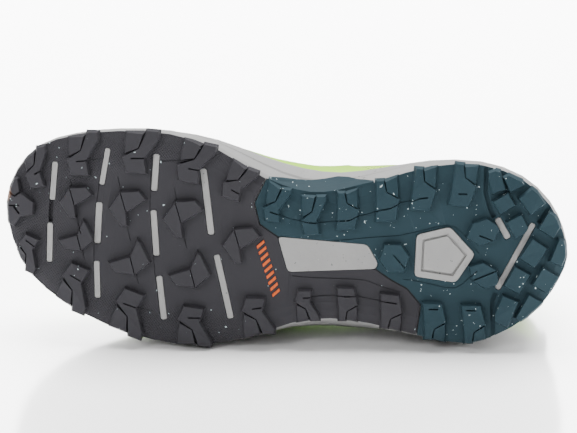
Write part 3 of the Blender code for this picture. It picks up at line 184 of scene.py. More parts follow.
# Parting line of the two rubbers, as shares of LENGTH and BALL_WIDTH
SEAMS = (
    ((0.542, 0.257), (0.559, 0.138), (0.547, 0.037), (0.513, -0.018)),
    ((0.338, -0.136), (0.310, -0.182), (0.279, -0.220), (0.253, -0.294), (0.256, -0.427)),
)

# Row of plain slanted bars beside the window: middle of each end of the row, in mm
BARS_FROM = (161.8, -6.4)
BARS_TO = (151.8, -31.2)
BAR_COUNT = 9
BAR_LENGTH = 5.0 * MM
BAR_WIDTH = 1.56 * MM
BAR_SLANT = 66

# Knurled part of the plate: an ellipse in the forefoot that stays smooth, and the ribs round it
KNURL_PITCH = 1.1 * MM
KNURL_TURN = 40
KNURL_CENTRE = (200 * MM, -5 * MM)
KNURL_REACH = (92 * MM, 56 * MM)
# Orange rub mark on the toe tip, in the shoe's frame
TOE_MARK = (299.0 * MM, 8.5 * MM, 14.0 * MM)

FLECK_COLOUR = (0.60, 0.72, 0.74, 1)
TOE_MARK_COLOUR = (0.42, 0.20, 0.10, 1)

CAMERA_DISTANCE = 1.30
CAMERA_ELEVATION = 17.0
CAMERA_AZIMUTH = 1.90
CAMERA_LENS = 153.0
CAMERA_AIM = (0.0008, -0.03, 0.0645)
WORLD_LIGHT = 0.42
LampRow = namedtuple("LampRow", "name place aim size power floor_only")
LAMPS = [LampRow(*row) for row in (
    ("key", (-0.95, -1.05, 1.0), (0, 0, 0.05), (0.45, 0.45), 11.0, False),
    ("top", (0.05, 0.45, 1.35), (0, 0, 0), (1.6, 0.9), 50.0, False),
    ("side", (1.3, -0.15, 0.35), (0.1, 0, 0.05), (0.4, 0.4), 5.0, False),
    ("back", (0, 2.6, 0.9), (0, 0, 0.1), (4.0, 1.8), 420.0, True),
    ("floor_light", (0.05, 0.45, 1.35), (0, 0, 0), (1.6, 0.9), 66.0, True),
)]


def rest_pose():
    """Where the shoe's own frame lies, read from the two flat faces of the tread."""
    mounts = {mount["name"]: mount for mount in frame["record"]["mounts"]}
    heel = Vector(mounts["heel_tread"]["pos_m"])
    fore = Vector(mounts["forefoot_tread"]["pos_m"])
    up = -Vector(mounts["heel_tread"]["axis"]).normalized()
    plan = FOREFOOT_SPOT - HEEL_SPOT
    along = fore - heel
    along = (along - up * along.dot(up)).normalized()
    ahead = Matrix.Rotation(-math.atan2(plan.y, plan.x), 3, up) @ along
    turn = Matrix((ahead, up.cross(ahead), up)).transposed().to_4x4()
    return Matrix.Translation(heel - turn @ HEEL_SPOT) @ turn


POSE = rest_pose()


# Shapes

def smooth_share(value):
    value = min(1.0, max(0.0, value))
    return value * value * (3 - 2 * value)


def closed_spline(control, per_span):
    """A closed centripetal Catmull-Rom curve through the control points."""
    found = []
    count = len(control)
    for index in range(count):
        p = [control[(index + shift) % count] for shift in (-1, 0, 1, 2)]
        knots = [0.0]
        for a, b in zip(p, p[1:]):
            knots.append(knots[-1] + math.sqrt((b - a).length))
        for part in range(per_span):
            at = knots[1] + (knots[2] - knots[1]) * part / per_span
            level = list(p)
            for width in (1, 2, 3):
                following = []
                for k in range(len(level) - 1):
                    low, high = (knots[1], knots[2]) if width == 3 else (knots[k], knots[k + width])
                    share = (at - low) / (high - low)
                    following.append(level[k] + (level[k + 1] - level[k]) * share)
                level = following
            found.append(level[0])
    return found


def open_spline(control, per_span):
    """An open uniform Catmull-Rom curve through the control points."""
    found = []
    last = len(control) - 1
    for k in range(last):
        a, b, c, d = (control[min(max(k + shift, 0), last)] for shift in (-1, 0, 1, 2))
        for part in range(per_span):
            t = part / per_span
            found.append(0.5 * ((2 * b) + (c - a) * t + (2 * a - 5 * b + 4 * c - d) * t ** 2
                                + (3 * b - a - 3 * c + d) * t ** 3))
    return [*found, control[-1]]


def sole_point(pair):
    return Vector((pair[0] * LENGTH, pair[1] * BALL_WIDTH))


def edge_loop(inner, outer, heel_tip, toe_tip, per_span):
    inner_side = [sole_point((row.station, getattr(row, inner))) for row in EDGE_TABLE]
    outer_side = [sole_point((row.station, -getattr(row, outer))) for row in EDGE_TABLE]
    control = [sole_point(heel_tip), *inner_side, sole_point(toe_tip), *reversed(outer_side)]
    return closed_spline(control, per_span)


def outward(loop):
    found = []
    for index in range(len(loop)):
        along = loop[(index + 1) % len(loop)] - loop[index - 1]
        found.append(Vector((-along.y, along.x)).normalized())
    return found


def ground(station):
    start = TOE_SPRING_START * LENGTH
    end = HEEL_SPRING_END * LENGTH
    toe = max(0.0, station - start) / (LENGTH - start)
    heel = max(0.0, end - station) / end
    return TOE_SPRING * toe ** 2 + HEEL_SPRING * heel ** 2


def fall(station):
    start, end = FOOTBED_FALL_START * LENGTH, FOOTBED_FALL_END * LENGTH
    return smooth_share((station - start) / (end - start))


TREAD = edge_loop("tread_inner", "tread_outer", HEEL_TIP, TOE_TIP, 2)


def tip_level(point):
    """How high the lug tips lie at a point of the plan; the tread curls up near its edge."""
    nearest, inside = LENGTH, False
    for a, b in zip(TREAD, TREAD[1:] + TREAD[:1]):
        along = b - a
        share = min(1.0, max(0.0, (point - a).dot(along) / along.length_squared))
        nearest = min(nearest, (point - a - along * share).length)
        if (a.y > point.y) != (b.y > point.y):
            inside ^= point.x < a.x + (point.y - a.y) * along.x / along.y
    depth = nearest if inside else 0.0
    return ground(point.x) + EDGE_LIFT * (1 - min(1.0, depth / EDGE_BAND)) ** 2


def footbed(station):
    start = TOE_SPRING_START * LENGTH
    rise = TOE_SPRING * TOE_THINNING * (max(0.0, station - start) / (LENGTH - start)) ** 2
    return FOOTBED_HEEL + (FOOTBED_BALL - FOOTBED_HEEL) * fall(station) + rise


def rim_level(station):
    rim = RIM_HEIGHT_HEEL + (RIM_HEIGHT_BALL - RIM_HEIGHT_HEEL) * fall(station)
    return footbed(station) + rim


def bezier(a, b, c, d, share):
    rest = 1 - share
    return (a * rest ** 3 + b * (3 * rest ** 2 * share)
            + c * (3 * rest * share ** 2) + d * share ** 3)


class Wall:
    """The upper's wall as rings from the footbed to the opening, finely divided."""

    def __init__(self, per_span, rows):
        self.per_span = per_span
        rim = edge_loop("rim_inner", "rim_outer", HEEL_RIM_TIP, TOE_RIM_TIP, per_span)
        self.count = len(rim)
        self.sides = outward(rim)
        self.foot = [p - n * (RIM_WALL + GAP) for p, n in zip(rim, self.sides)]
        self.rim = rim
        opening = self.opening_loop()
        starts = [Vector((p.x, p.y, rim_level(p.x) + GAP)) for p in self.foot]
        self.rings = [[Vector((p.x, p.y, footbed(p.x) + GAP)) for p in self.foot]]
        for step in range(rows + 1):
            ring = []
            for i in range(self.count):
                out = Vector((*self.sides[i], 0))
                side = "lean_inner" if i < self.count // 2 else "lean_outer"
                lean = math.radians(self.value(i, side))
                drop = math.radians(self.value(i, "drop"))
                rise = self.value(i, "rise") * TOPLINE_HEIGHT
                reach = self.value(i, "reach") * TOPLINE_HEIGHT
                up = Vector((0, 0, 1))
                leave = starts[i] + (out * math.sin(lean) + up * math.cos(lean)) * rise
                arrive = opening[i] + (out * math.cos(drop) - up * math.sin(drop)) * reach
                ring.append(bezier(starts[i], leave, arrive, opening[i], step / rows))
            self.rings.append(ring)
        self.last = len(self.rings) - 1
        self.normals = [self.ring_normals(r) for r in range(self.last + 1)]
        self.lining = [
            [p - n * self.thickness(r, i)
             for i, (p, n) in enumerate(zip(self.rings[r], self.normals[r]))]
            for r in range(self.last + 1)
        ]

    def opening_loop(self):
        def corner(row, side):
            across = row.inner if side > 0 else -row.outer
            return Vector((row.station * LENGTH, across * BALL_WIDTH,
                           row.height * TOPLINE_HEIGHT))
        inner = [corner(row, 1) for row in UPPER_TABLE]
        outer = [corner(row, -1) for row in UPPER_TABLE[1:-1]]
        return closed_spline([*inner, *reversed(outer)], self.per_span)

    def value(self, index, column):
        position = min(index, self.count - index) / self.per_span
        low = min(int(position), len(UPPER_TABLE) - 2)
        part = position - low
        a, b = getattr(UPPER_TABLE[low], column), getattr(UPPER_TABLE[low + 1], column)
        return a + (b - a) * part

    def ring_normals(self, r):
        if r < 1:
            return [Vector((*side, 0)) for side in self.sides]
        found = []
        ring = self.rings[r]
        above, below = self.rings[min(r + 1, self.last)], self.rings[max(r - 1, 1)]
        for i in range(self.count):
            around = ring[(i + 1) % self.count] - ring[i - 1]
            found.append((above[i] - below[i]).cross(around).normalized())
        return found

    def thickness(self, r, index):
        last = (COLLAR_ROWS - 1) * self.per_span
        near = min(index, self.count - index)
        collar = smooth_share((last - near) / (2 * self.per_span))
        share = (r - 1) / (self.last - 1)
        return WALL + COLLAR_PADDING * collar * smooth_share((share - 0.44) / 0.42)

    def at(self, place, share, out=0.0):
        """A point on the wall: place counts outline rows of 64, share runs from rim to opening."""
        return self.mixed(self.rings, place, share) + self.normal(place, share) * out

    def normal(self, place, share):
        return self.mixed(self.normals, place, share).normalized()

    def mixed(self, rings, place, share):
        i = (place / 2 * self.per_span) % self.count
        r = 1 + min(1.0, max(0.0, share)) * (self.last - 1)
        i0, r0 = int(i), min(int(r), self.last - 1)
        i1 = (i0 + 1) % self.count
        low, high = (rings[row][i0].lerp(rings[row][i1], i - i0) for row in (r0, r0 + 1))
        return low.lerp(high, r - r0)


def new_object(name, shape):
    """An object from points and faces in the shoe's frame, its faces turned outward."""
    points, faces = shape
    mesh = bpy.data.meshes.new(name)
    mesh.from_pydata([tuple(POSE @ p) for p in points], [], faces)
    working = bmesh.new()
    working.from_mesh(mesh)
    bmesh.ops.recalc_face_normals(working, faces=working.faces)
    working.to_mesh(mesh)
    working.free()
    made = bpy.data.objects.new(name, mesh)
    bpy.context.scene.collection.objects.link(made)
    return made


def new_cutter(name, shapes):
    made = new_object(name, merged(shapes))
    made.hide_render = True
    made.hide_viewport = True
    return made


def cut_away(target, name, cutter, crossing=False):
    step = target.modifiers.new(name, "BOOLEAN")
    step.operation = "DIFFERENCE"
    step.solver = "EXACT"
    step.use_self = crossing
    step.object = cutter


def add_piece(name, shape, finish, uvs=None, flat=False):
    """A piece from points and faces in the shoe's frame, riding on the shoe."""
    made = new_object(name, shape)
    mesh = made.data
    if uvs:
        layer = mesh.uv_layers.new(name="UVMap")
        for loop in mesh.loops:
            layer.data[loop.index].uv = uvs[loop.vertex_index]
    if not flat:
        mesh.shade_smooth()
    for one in finish if isinstance(finish, (list, tuple)) else (finish,):
        mesh.materials.append(one)
    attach(made, "root")
    return made


def grid_faces(rows, width, closed=False):
    faces = []
    for r in range(rows - 1):
        for c in range(width if closed else width - 1):
            n = (c + 1) % width
            faces.append((r * width + c, r * width + n, (r + 1) * width + n, (r + 1) * width + c))
    return faces


def swept(path, normals, width, thickness, sides, squareness, closed=False):
    """A flat or round cord swept along a path, its thickness along the normals."""
    points = []
    count = len(path)
    for k, (place, normal) in enumerate(zip(path, normals)):
        if closed:
            along = path[(k + 1) % count] - path[k - 1]
        else:
            along = path[min(k + 1, count - 1)] - path[max(k - 1, 0)]
        across = along.cross(normal).normalized()
        lift = across.cross(along).normalized()
        for side in range(sides):
            angle = math.tau * side / sides
            x, y = math.cos(angle), math.sin(angle)
            x = math.copysign(abs(x) ** squareness, x)
            y = math.copysign(abs(y) ** squareness, y)
            points.append(place + across * x * width / 2 + lift * y * thickness / 2)
    faces = []
    for r in range(count if closed else count - 1):
        for c in range(sides):
            n, q = (c + 1) % sides, (r + 1) % count
            faces.append((r * sides + c, r * sides + n, q * sides + n, q * sides + c))
    if not closed:
        faces.append(tuple(range(sides)))
        faces.append(tuple(range((count - 1) * sides, count * sides)))
    return points, faces


def merged(shapes):
    points, faces = [], []
    for corners, shape_faces in shapes:
        start = len(points)
        points += corners
        faces += [tuple(start + index for index in face) for face in shape_faces]
    return points, faces


def stitch_row(path, normals, pitch=2.8 * MM, length=1.9 * MM, radius=0.26 * MM):
    """Short rounded threads laid end to end along a path."""
    shapes = []
    walked, due = 0.0, pitch / 2
    for a, b, n in zip(path, path[1:], normals):
        span = (b - a).length
        while walked + span >= due:
            centre = a.lerp(b, (due - walked) / span)
            along = (b - a).normalized()
            line = [centre + along * length * share for share in (-0.5, -0.36, 0.0, 0.36, 0.5)]
            lifts = (-0.3, 0.35, 0.75, 0.35, -0.3)
            line = [p + n * radius * lift for p, lift in zip(line, lifts)]
            shapes.append(swept(line, [n] * 5, 2 * radius, 1.6 * radius, 6, 1.0))
            due += pitch
        walked += span
    return shapes


# Materials

def socket_value(tree, target, value):
    if isinstance(value, bpy.types.NodeSocket):
        tree.links.new(value, target)
    else:
        target.default_value = value


def node(tree, kind, inputs=(), **settings):
    made = tree.nodes.new("ShaderNode" + kind)
    for key, value in settings.items():
        setattr(made, key, value)
    for key, value in dict(inputs).items():
        socket_value(tree, made.inputs[key], value)
    return made


def calc(tree, operation, a, b=0.0):
    return node(tree, "Math", {0: a, 1: b}, operation=operation).outputs[0]


def times(tree, a, b):
    return calc(tree, "MULTIPLY", a, b)


def ramp(tree, value, low, high, start=0.0, end=1.0):
    """Runs from start to end while value runs from low to high."""
    return node(tree, "MapRange", {"Value": value, "From Min": low, "From Max": high,
                                   "To Min": start, "To Max": end}).outputs[0]


def blend(tree, share, a, b):
    made = node(tree, "Mix", {0: share, 6: a, 7: b}, data_type="RGBA")
    return made.outputs[2]


def shader(name, colour, roughness, **sockets):
    made = bpy.data.materials.new(name)
    made.use_nodes = True
    surface = made.node_tree.nodes["Principled BSDF"]
    surface.inputs["Base Color"].default_value = (*colour, 1.0)
    surface.inputs["Roughness"].default_value = roughness
    for key, value in sockets.items():
        surface.inputs[key.replace("_", " ")].default_value = value
    return made, made.node_tree, surface


def shoe_coords(tree):
    """Coordinates of the shoe's own frame, in metres."""
    place = node(tree, "TexCoord").outputs["Object"]
    back = POSE.inverted()
    return node(tree, "Mapping", {
        "Vector": place, "Location": back.translation, "Rotation": back.to_euler(),
    }).outputs[0]


def noise(tree, place, size, detail=2.0):
    return node(tree, "TexNoise", {"Vector": place, "Scale": 1 / size, "Detail": detail}).outputs


def flecks(tree, place, cell, share, size, ragged=0.5):
    """A mask of ragged specks: one in some of the cells."""
    wobble = noise(tree, place, cell * 0.35)["Color"]
    centred = node(tree, "VectorMath", {0: wobble, 1: (0.5, 0.5, 0.5)}, operation="SUBTRACT")
    shift = node(tree, "VectorMath", {0: centred.outputs[0], "Scale": cell * ragged},
                 operation="SCALE")
    moved = node(tree, "VectorMath", {0: place, 1: shift.outputs[0]}, operation="ADD").outputs[0]
    cells = node(tree, "TexVoronoi", {"Vector": moved, "Scale": 1 / cell, "Randomness": 0.9})
    pick = node(tree, "SeparateColor", {0: cells.outputs["Color"]}).outputs
    reach = times(tree, pick[1], size / cell)
    reach = calc(tree, "ADD", reach, size / cell * 0.35)
    near = calc(tree, "LESS_THAN", cells.outputs["Distance"], reach)
    chosen = calc(tree, "GREATER_THAN", pick[0], 1 - share)
    return times(tree, near, chosen)


def bump(tree, surface, height, depth, before=None):
    inputs = {"Height": height, "Distance": depth, "Strength": 1.0}
    if before is not None:
        inputs["Normal"] = before
    made = node(tree, "Bump", inputs).outputs[0]
    tree.links.new(made, surface.inputs["Normal"])
    return made


def spread(tree, place, size, low, high):
    """A soft mask that gathers things in some places, from 0 to 1."""
    cloud = noise(tree, place, size, 1.0)[0]
    return ramp(tree, cloud, low, high)


def waves(tree, place, size, axis="X"):
    return node(tree, "TexWave", {"Vector": place, "Scale": 1 / size}, bands_direction=axis).outputs[1]


def knurl(tree, place):
    """Fine crossed ribs on the plate near its edge in the forefoot, as a height from 0 to 1."""
    turned = node(tree, "Mapping", {"Vector": place, "Rotation": (0, 0, math.radians(KNURL_TURN))})
    ribs = times(tree, *(waves(tree, turned.outputs[0], KNURL_PITCH * 20 / math.tau, axis)
                                    for axis in ("X", "Y")))
    s, t, height = node(tree, "SeparateXYZ", {0: place}).outputs
    ahead = calc(tree, "MAXIMUM", calc(tree, "SUBTRACT", s, KNURL_CENTRE[0]), 0.0)
    along = calc(tree, "DIVIDE", ahead, KNURL_REACH[0])
    across = calc(tree, "DIVIDE", calc(tree, "SUBTRACT", t, KNURL_CENTRE[1]), KNURL_REACH[1])
    reach = calc(tree, "ADD", times(tree, along, along), times(tree, across, across))
    near = ramp(tree, reach, 0.44, 0.62)
    front = ramp(tree, s, 160 * MM, 175 * MM)
    start = TOE_SPRING_START * LENGTH
    spring = calc(tree, "MAXIMUM", calc(tree, "SUBTRACT", s, start), 0.0)
    spring = calc(tree, "DIVIDE", spring, LENGTH - start)
    spring = times(tree, times(tree, spring, spring), TOE_SPRING)
    depth = calc(tree, "SUBTRACT", height, spring)
    low = calc(tree, "GREATER_THAN", depth, LUG_HEIGHT - 0.3 * MM)
    mask = times(tree, times(tree, near, front), low)
    return times(tree, ribs, mask)


def rubber(name, colour, light, fleck_share, gather, crossed=False):
    made, tree, surface = shader(name, colour, 0.66, Specular_IOR_Level=0.14)
    place = shoe_coords(tree)
    cloud = noise(tree, place, 26 * MM)[0]
    shade = blend(tree, times(tree, cloud, 0.6), (*colour, 1), (*light, 1))
    if crossed:
        away = node(tree, "VectorMath", {0: place, 1: TOE_MARK}, operation="DISTANCE").outputs["Value"]
        tint = ramp(tree, away, 1.5 * MM, 5.0 * MM, 0.7, 0.0)
        shade = blend(tree, tint, shade, TOE_MARK_COLOUR)
    many = spread(tree, place, 24 * MM, *gather)
    big = times(tree, flecks(tree, place, 3.4 * MM, fleck_share, 0.46 * MM, 0.9),
               calc(tree, "GREATER_THAN", many, 0.25))
    small = flecks(tree, place, 1.7 * MM, fleck_share * 0.9, 0.24 * MM, 0.7)
    thin = node(tree, "Mapping", {"Vector": place, "Rotation": (0.4, 0.2, 0.9),
                                  "Scale": (0.35, 1, 1)}).outputs[0]
    strokes = flecks(tree, thin, 2.6 * MM, fleck_share * 0.5, 0.22 * MM, 0.6)
    mask = calc(tree, "MAXIMUM", calc(tree, "MAXIMUM", big, small), strokes)
    shade = blend(tree, mask, shade, FLECK_COLOUR)
    tree.links.new(shade, surface.inputs["Base Color"])
    grain = noise(tree, place, 0.45 * MM, 3.0)[0]
    rough = calc(tree, "ADD", times(tree, cloud, 0.16), 0.56)
    tree.links.new(rough, surface.inputs["Roughness"])
    first = bump(tree, surface, grain, 0.05 * MM)
    if crossed:
        bump(tree, surface, knurl(tree, place), 0.30 * MM, first)
    return made


def foam(name):
    made, tree, surface = shader(name, (0.31, 0.31, 0.306), 0.72, Specular_IOR_Level=0.35)
    place = shoe_coords(tree)
    cloud = noise(tree, place, 14 * MM)[0]
    shade = blend(tree, cloud, (0.285, 0.285, 0.281, 1), (0.345, 0.341, 0.337, 1))
    for cell, share, size, ragged, colour in (
        (1.6, 0.16, 0.30, 0.8, (0.21, 0.21, 0.21, 1)),
        (2.7, 0.11, 0.38, 0.9, (0.05, 0.06, 0.07, 1)),
        (1.9, 0.05, 0.35, 0.8, (0.44, 0.44, 0.43, 1)),
    ):
        specks = flecks(tree, place, cell * MM, share, size * MM, ragged)
        shade = blend(tree, specks, shade, colour)
    tree.links.new(shade, surface.inputs["Base Color"])
    beads = node(tree, "TexVoronoi", {"Vector": place, "Scale": 1 / (2.6 * MM)}).outputs["Distance"]
    fine = noise(tree, place, 0.5 * MM, 2.0)[0]
    first = bump(tree, surface, beads, 0.05 * MM)
    bump(tree, surface, fine, 0.03 * MM, first)
    return made


def mesh_cloth(name, thread, hole, pitch=2.3 * MM, sheen=0.25):
    """Knitted mesh on the UV map, which is in metres: staggered small holes between threads."""
    made, tree, surface = shader(name, thread, 0.78, Sheen_Weight=sheen, Sheen_Roughness=0.4)
    uv = node(tree, "TexCoord").outputs["UV"]
    turned = node(tree, "Mapping", {"Vector": uv, "Rotation": (0, 0, math.radians(45)),
                                    "Scale": (1 / pitch, 1 / pitch, 1)}).outputs[0]
    cells = node(tree, "TexVoronoi", {"Vector": turned, "Scale": 1.0, "Randomness": 0.12},
                 voronoi_dimensions="2D").outputs["Distance"]
    open_share = ramp(tree, cells, 0.16, 0.40, 1.0, 0.0)
    cloud = noise(tree, uv, 30 * MM)[0]
    base = blend(tree, times(tree, cloud, 0.25), (*thread, 1),
                 (*(c * 0.7 for c in thread), 1))
    shade = blend(tree, open_share, base, (*hole, 1))
    tree.links.new(shade, surface.inputs["Base Color"])
    ribs = waves(tree, uv, 5 * 0.9 * MM)
    height = calc(tree, "SUBTRACT", times(tree, ribs, 0.25), open_share)
    bump(tree, surface, height, 0.16 * MM)
    return made


def film(name, colour, roughness=0.42, coat=0.15):
    made, tree, surface = shader(name, colour, roughness, Coat_Weight=coat, Coat_Roughness=0.35)
    place = shoe_coords(tree)
    cloud = noise(tree, place, 22 * MM)[0]
    shade = blend(tree, times(tree, cloud, 0.35), (*colour, 1),
                  (*(min(1.0, c * 1.35 + 0.01) for c in colour), 1))
    tree.links.new(shade, surface.inputs["Base Color"])
    bump(tree, surface, noise(tree, place, 0.7 * MM, 3.0)[0], 0.03 * MM)
    return made


def textile(name, colour, pitch=0.9 * MM, sheen=0.35):
    """Close plain weave on the UV map, which is in metres."""
    made, tree, surface = shader(name, colour, 0.85, Sheen_Weight=sheen, Sheen_Roughness=0.5)
    uv = node(tree, "TexCoord").outputs["UV"]
    weave = times(tree, waves(tree, uv, 5 * pitch), waves(tree, uv, 5 * pitch, "Y"))
    shade = blend(tree, weave, (*(c * 0.55 for c in colour), 1), (*(c * 1.3 for c in colour), 1))
    tree.links.new(shade, surface.inputs["Base Color"])
    bump(tree, surface, weave, 0.12 * MM)
    return made


BLACK_RUBBER = rubber("charcoal_rubber_look", (0.0340, 0.0330, 0.0380), (0.0405, 0.0395, 0.0450), 0.036,
                      (0.40, 0.70), True)
TEAL_RUBBER = rubber("teal_rubber_look", (0.0170, 0.0375, 0.0480), (0.0250, 0.0500, 0.0630), 0.150,
                     (0.30, 0.62))
FOAM = foam("grey_foam_look")
LIME_MESH = mesh_cloth("lime_mesh_look", (0.55, 0.88, 0.10), (0.16, 0.32, 0.03), sheen=0.08)
LIME_FILM = film("lime_film_look", (0.40, 0.76, 0.04), 0.5, 0.05)
DARK_FILM = film("dark_film_look", (0.022, 0.025, 0.028), 0.58, 0.0)
TEAL_FILM = film("teal_film_look", (0.030, 0.085, 0.110))
LINING = textile("lining_look", (0.032, 0.080, 0.100), sheen=0.1)
TONGUE_CLOTH = mesh_cloth("tongue_mesh_look", (0.035, 0.090, 0.115), (0.008, 0.018, 0.024), 1.9 * MM,
                          sheen=0.08)
INSOLE_CLOTH = textile("insole_look", (0.030, 0.034, 0.038), 1.3 * MM)
LACE_CLOTH = textile("lace_look", (0.020, 0.022, 0.026), 0.8 * MM, 0.08)
THREAD = shader("thread_look", (0.72, 0.90, 0.35), 0.6)[0]
ORANGE = film("orange_look", (0.60, 0.085, 0.0), 0.5, 0.0)
# Near-black for the seam strip: painted shade at the bottom of the parting line's gap
SEAM_SHADE = shader("seam_shade_look", (0.010, 0.010, 0.011), 0.8)[0]


# Tread and midsole

def strip(line, width, low, high):
    """A thin closed strip along a line of the plan, between two levels from the lug tips."""
    fine = [Vector(line[0])]
    for a, b in zip(line, line[1:]):
        a, b = Vector(a), Vector(b)
        count = max(1, round((b - a).length / (3 * MM)))
        fine += [a.lerp(b, k / count) for k in range(1, count + 1)]
    points = []
    for k, p in enumerate(fine):
        along = fine[min(k + 1, len(fine) - 1)] - fine[max(k - 1, 0)]
        across = along.normalized().orthogonal() * width / 2
        level = tip_level(p)
        for q, height in ((p + across, low), (p - across, low), (p - across, high), (p + across, high)):
            points.append(Vector((q.x, q.y, level + height)))
    last = 4 * len(fine)
    faces = grid_faces(len(fine), 4, closed=True) + [(0, 1, 2, 3), tuple(range(last - 4, last))]
    return points, faces


def slits(lines, width, depth):
    return [strip([(s * MM, t * MM) for s, t in line], width, -1.5 * MM, depth) for line in lines]


def tread_cutter():
    shapes = slits(LUG_CUTS, 0.75 * MM, 1.7 * MM)
    shapes += slits(TOE_CUTS, 1.0 * MM, 2.6 * MM)
    shapes += slits(FLEX_GROOVES, 2.3 * MM, LUG_HEIGHT + 1.9 * MM)
    shapes += slits(MOULD_LINES, 0.5 * MM, LUG_HEIGHT + 0.45 * MM)
    return new_cutter("tread_cuts", shapes)


def finish_node(name, material, round_edges=0.0, cutter=None):
    item = NODES[name]
    item.data.materials.clear()
    item.data.materials.append(material)
    if cutter:
        cut_away(item, "cuts", cutter, crossing=True)
    if round_edges:
        step = item.modifiers.new("rounding", "BEVEL")
        step.width = round_edges
        step.segments = 2
        step.limit_method = "ANGLE"
        step.angle_limit = math.radians(38)


def slanted_bars():
    """A row of plain raised bars on the plate."""
    start, end = Vector(BARS_FROM) * MM, Vector(BARS_TO) * MM
    row = (end - start).normalized()
    half = Matrix.Rotation(math.radians(BAR_SLANT), 2) @ row * BAR_LENGTH / 2
    thick = row * BAR_WIDTH / 2
    shapes = []
    for k in range(BAR_COUNT):
        middle = start.lerp(end, k / (BAR_COUNT - 1))
        corners = [middle + half + thick, middle - half + thick,
                   middle - half - thick, middle + half - thick]
        top = [middle + (p - middle) * 0.88 for p in corners]
        face = LUG_HEIGHT
        points = [Vector((p.x, p.y, face + 0.3 * MM)) for p in corners]
        points += [Vector((p.x, p.y, face - 0.35 * MM)) for p in corners]
        points += [Vector((p.x, p.y, face - 0.5 * MM)) for p in top]
        faces = grid_faces(3, 4, closed=True) + [(0, 1, 2, 3), (8, 9, 10, 11)]
        shapes.append((points, faces))
    add_piece("tread_bars", merged(shapes), ORANGE, flat=True)


def seam_strip():
    """Near-black strip at the bottom of the parting line: painted shade in the gap, standing in for the
    shadow over the foam below.
    """
    low, high = LUG_HEIGHT + 0.7 * MM, LUG_HEIGHT + 1.9 * MM
    lines = [[sole_point(pair) for pair in line] for line in SEAMS]
    shapes = [strip(line, 1.1 * MM, low, high) for line in lines]
    add_piece("seam_strip", merged(shapes), SEAM_SHADE, flat=True)


# Upper

FINE = Wall(8, 26)
COARSE = Wall(2, 7)


def ring_uvs(wall, rings):
    """UVs in metres: along the rim, and up the wall."""
    along = [0.0]
    for a, b in zip(wall.rim, wall.rim[1:]):
        along.append(along[-1] + (b - a).length)
    uvs = []
    height = [0.0] * wall.count
    for r, ring in enumerate(rings):
        for i, p in enumerate(ring):
            if r:
                height[i] += (p - rings[r - 1][i]).length
            uvs.append((along[i], height[i]))
    return uvs


def upper():
    lip = []
    steps = 5
    for k in range(1, steps):
        angle = math.pi * k / steps
        ring = []
        for i in range(FINE.count):
            outside, inside = FINE.rings[-1][i], FINE.lining[-1][i]
            up = (FINE.rings[-1][i] - FINE.rings[-2][i]).normalized()
            middle, half = (outside + inside) / 2, (outside - inside) / 2
            ring.append(middle + half * math.cos(angle) + up * half.length * math.sin(angle) * 0.9)
        lip.append(ring)
    rings = [*FINE.rings, *lip, *reversed(FINE.lining)]
    points = [p for ring in rings for p in ring]
    faces = grid_faces(len(rings), FINE.count, closed=True)
    last = (len(rings) - 1) * FINE.count
    for i in range(FINE.count):
        j = (i + 1) % FINE.count
        faces.append((i, j, last + j, last + i))
    made = add_piece("upper_shell", (points, faces), (LIME_MESH, LINING), ring_uvs(FINE, rings))
    outer = (len(FINE.rings) + 1) * FINE.count
    for polygon in made.data.polygons:
        polygon.material_index = 1 if max(polygon.vertices) >= outer else 0
    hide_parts("upper")
    punch_eyelets(made)


def eyelet_place(index, out=0.0):
    """An eyelet's centre on the wall and the outward direction there."""
    i = index % COARSE.count
    edge, below = COARSE.rings[-1][i], COARSE.rings[-2][i]
    normal = COARSE.normals[-1][i].lerp(COARSE.normals[-2][i], EYELET_SETBACK).normalized()
    return edge.lerp(below, EYELET_SETBACK) + normal * out, normal


def punch_eyelets(target):
    shapes = []
    for index in EYELETS:
        centre, normal = eyelet_place(index)
        along = normal.orthogonal().normalized()
        path = [centre + normal * 5 * MM, centre - normal * 6 * MM]
        shapes.append(swept(path, [along] * 2, EYELET_HOLE, EYELET_HOLE, 16, 1.0))
    cut_away(target, "eyelets", new_cutter(target.name + "_cuts", shapes))


def wall_film(name, material, start, end, low, high, lift=OVERLAY, rows=10, step=0.25):
    """A thin film on the upper between two heights that vary along the outline."""
    columns = max(8, round((end - start) / step))
    cols = []
    for c in range(columns + 1):
        share = c / columns
        cols.append((start + (end - start) * share, share))
    edge_in = 0.8 * MM
    first = cols[0][0] + 0.06, 0.004
    last = cols[-1][0] - 0.06, 0.996
    cols = [cols[0], first, *cols[1:-1], last, cols[-1]]
    points, uvs = [], []
    for k, (place, share) in enumerate(cols):
        bottom, top = low(share), high(share)
        span = max(1e-4, (FINE.at(place, top) - FINE.at(place, bottom)).length)
        trim = min(0.3, edge_in / span)
        heights = [0.0, trim] + [trim + (1 - 2 * trim) * (r + 1) / rows for r in range(rows - 1)]
        heights += [1 - trim, 1.0]
        for j, h in enumerate(heights):
            border = k in (0, len(cols) - 1) or j in (0, len(heights) - 1)
            out = -0.15 * MM if border else lift
            points.append(FINE.at(place, bottom + (top - bottom) * h, out))
            uvs.append((place * 11 * MM, (bottom + (top - bottom) * h) * 70 * MM))
    width = len(heights)
    return add_piece(name, (points, grid_faces(len(cols), width)), material, uvs)


def wall_path(start, end, height, out, steps):
    path, normals = [], []
    for k in range(steps + 1):
        share = k / steps
        place = start + (end - start) * share
        path.append(FINE.at(place, height(share), out))
        normals.append(FINE.normal(place, height(share)))
    return path, normals


def eased(rows):
    """A smooth height profile through (share, height) rows."""
    def height(share):
        for (a, low), (b, high) in zip(rows, rows[1:]):
            if share <= b:
                return low + (high - low) * smooth_share((share - a) / (b - a))
        return rows[-1][1]
    return height


def straight(value):
    return lambda share: value


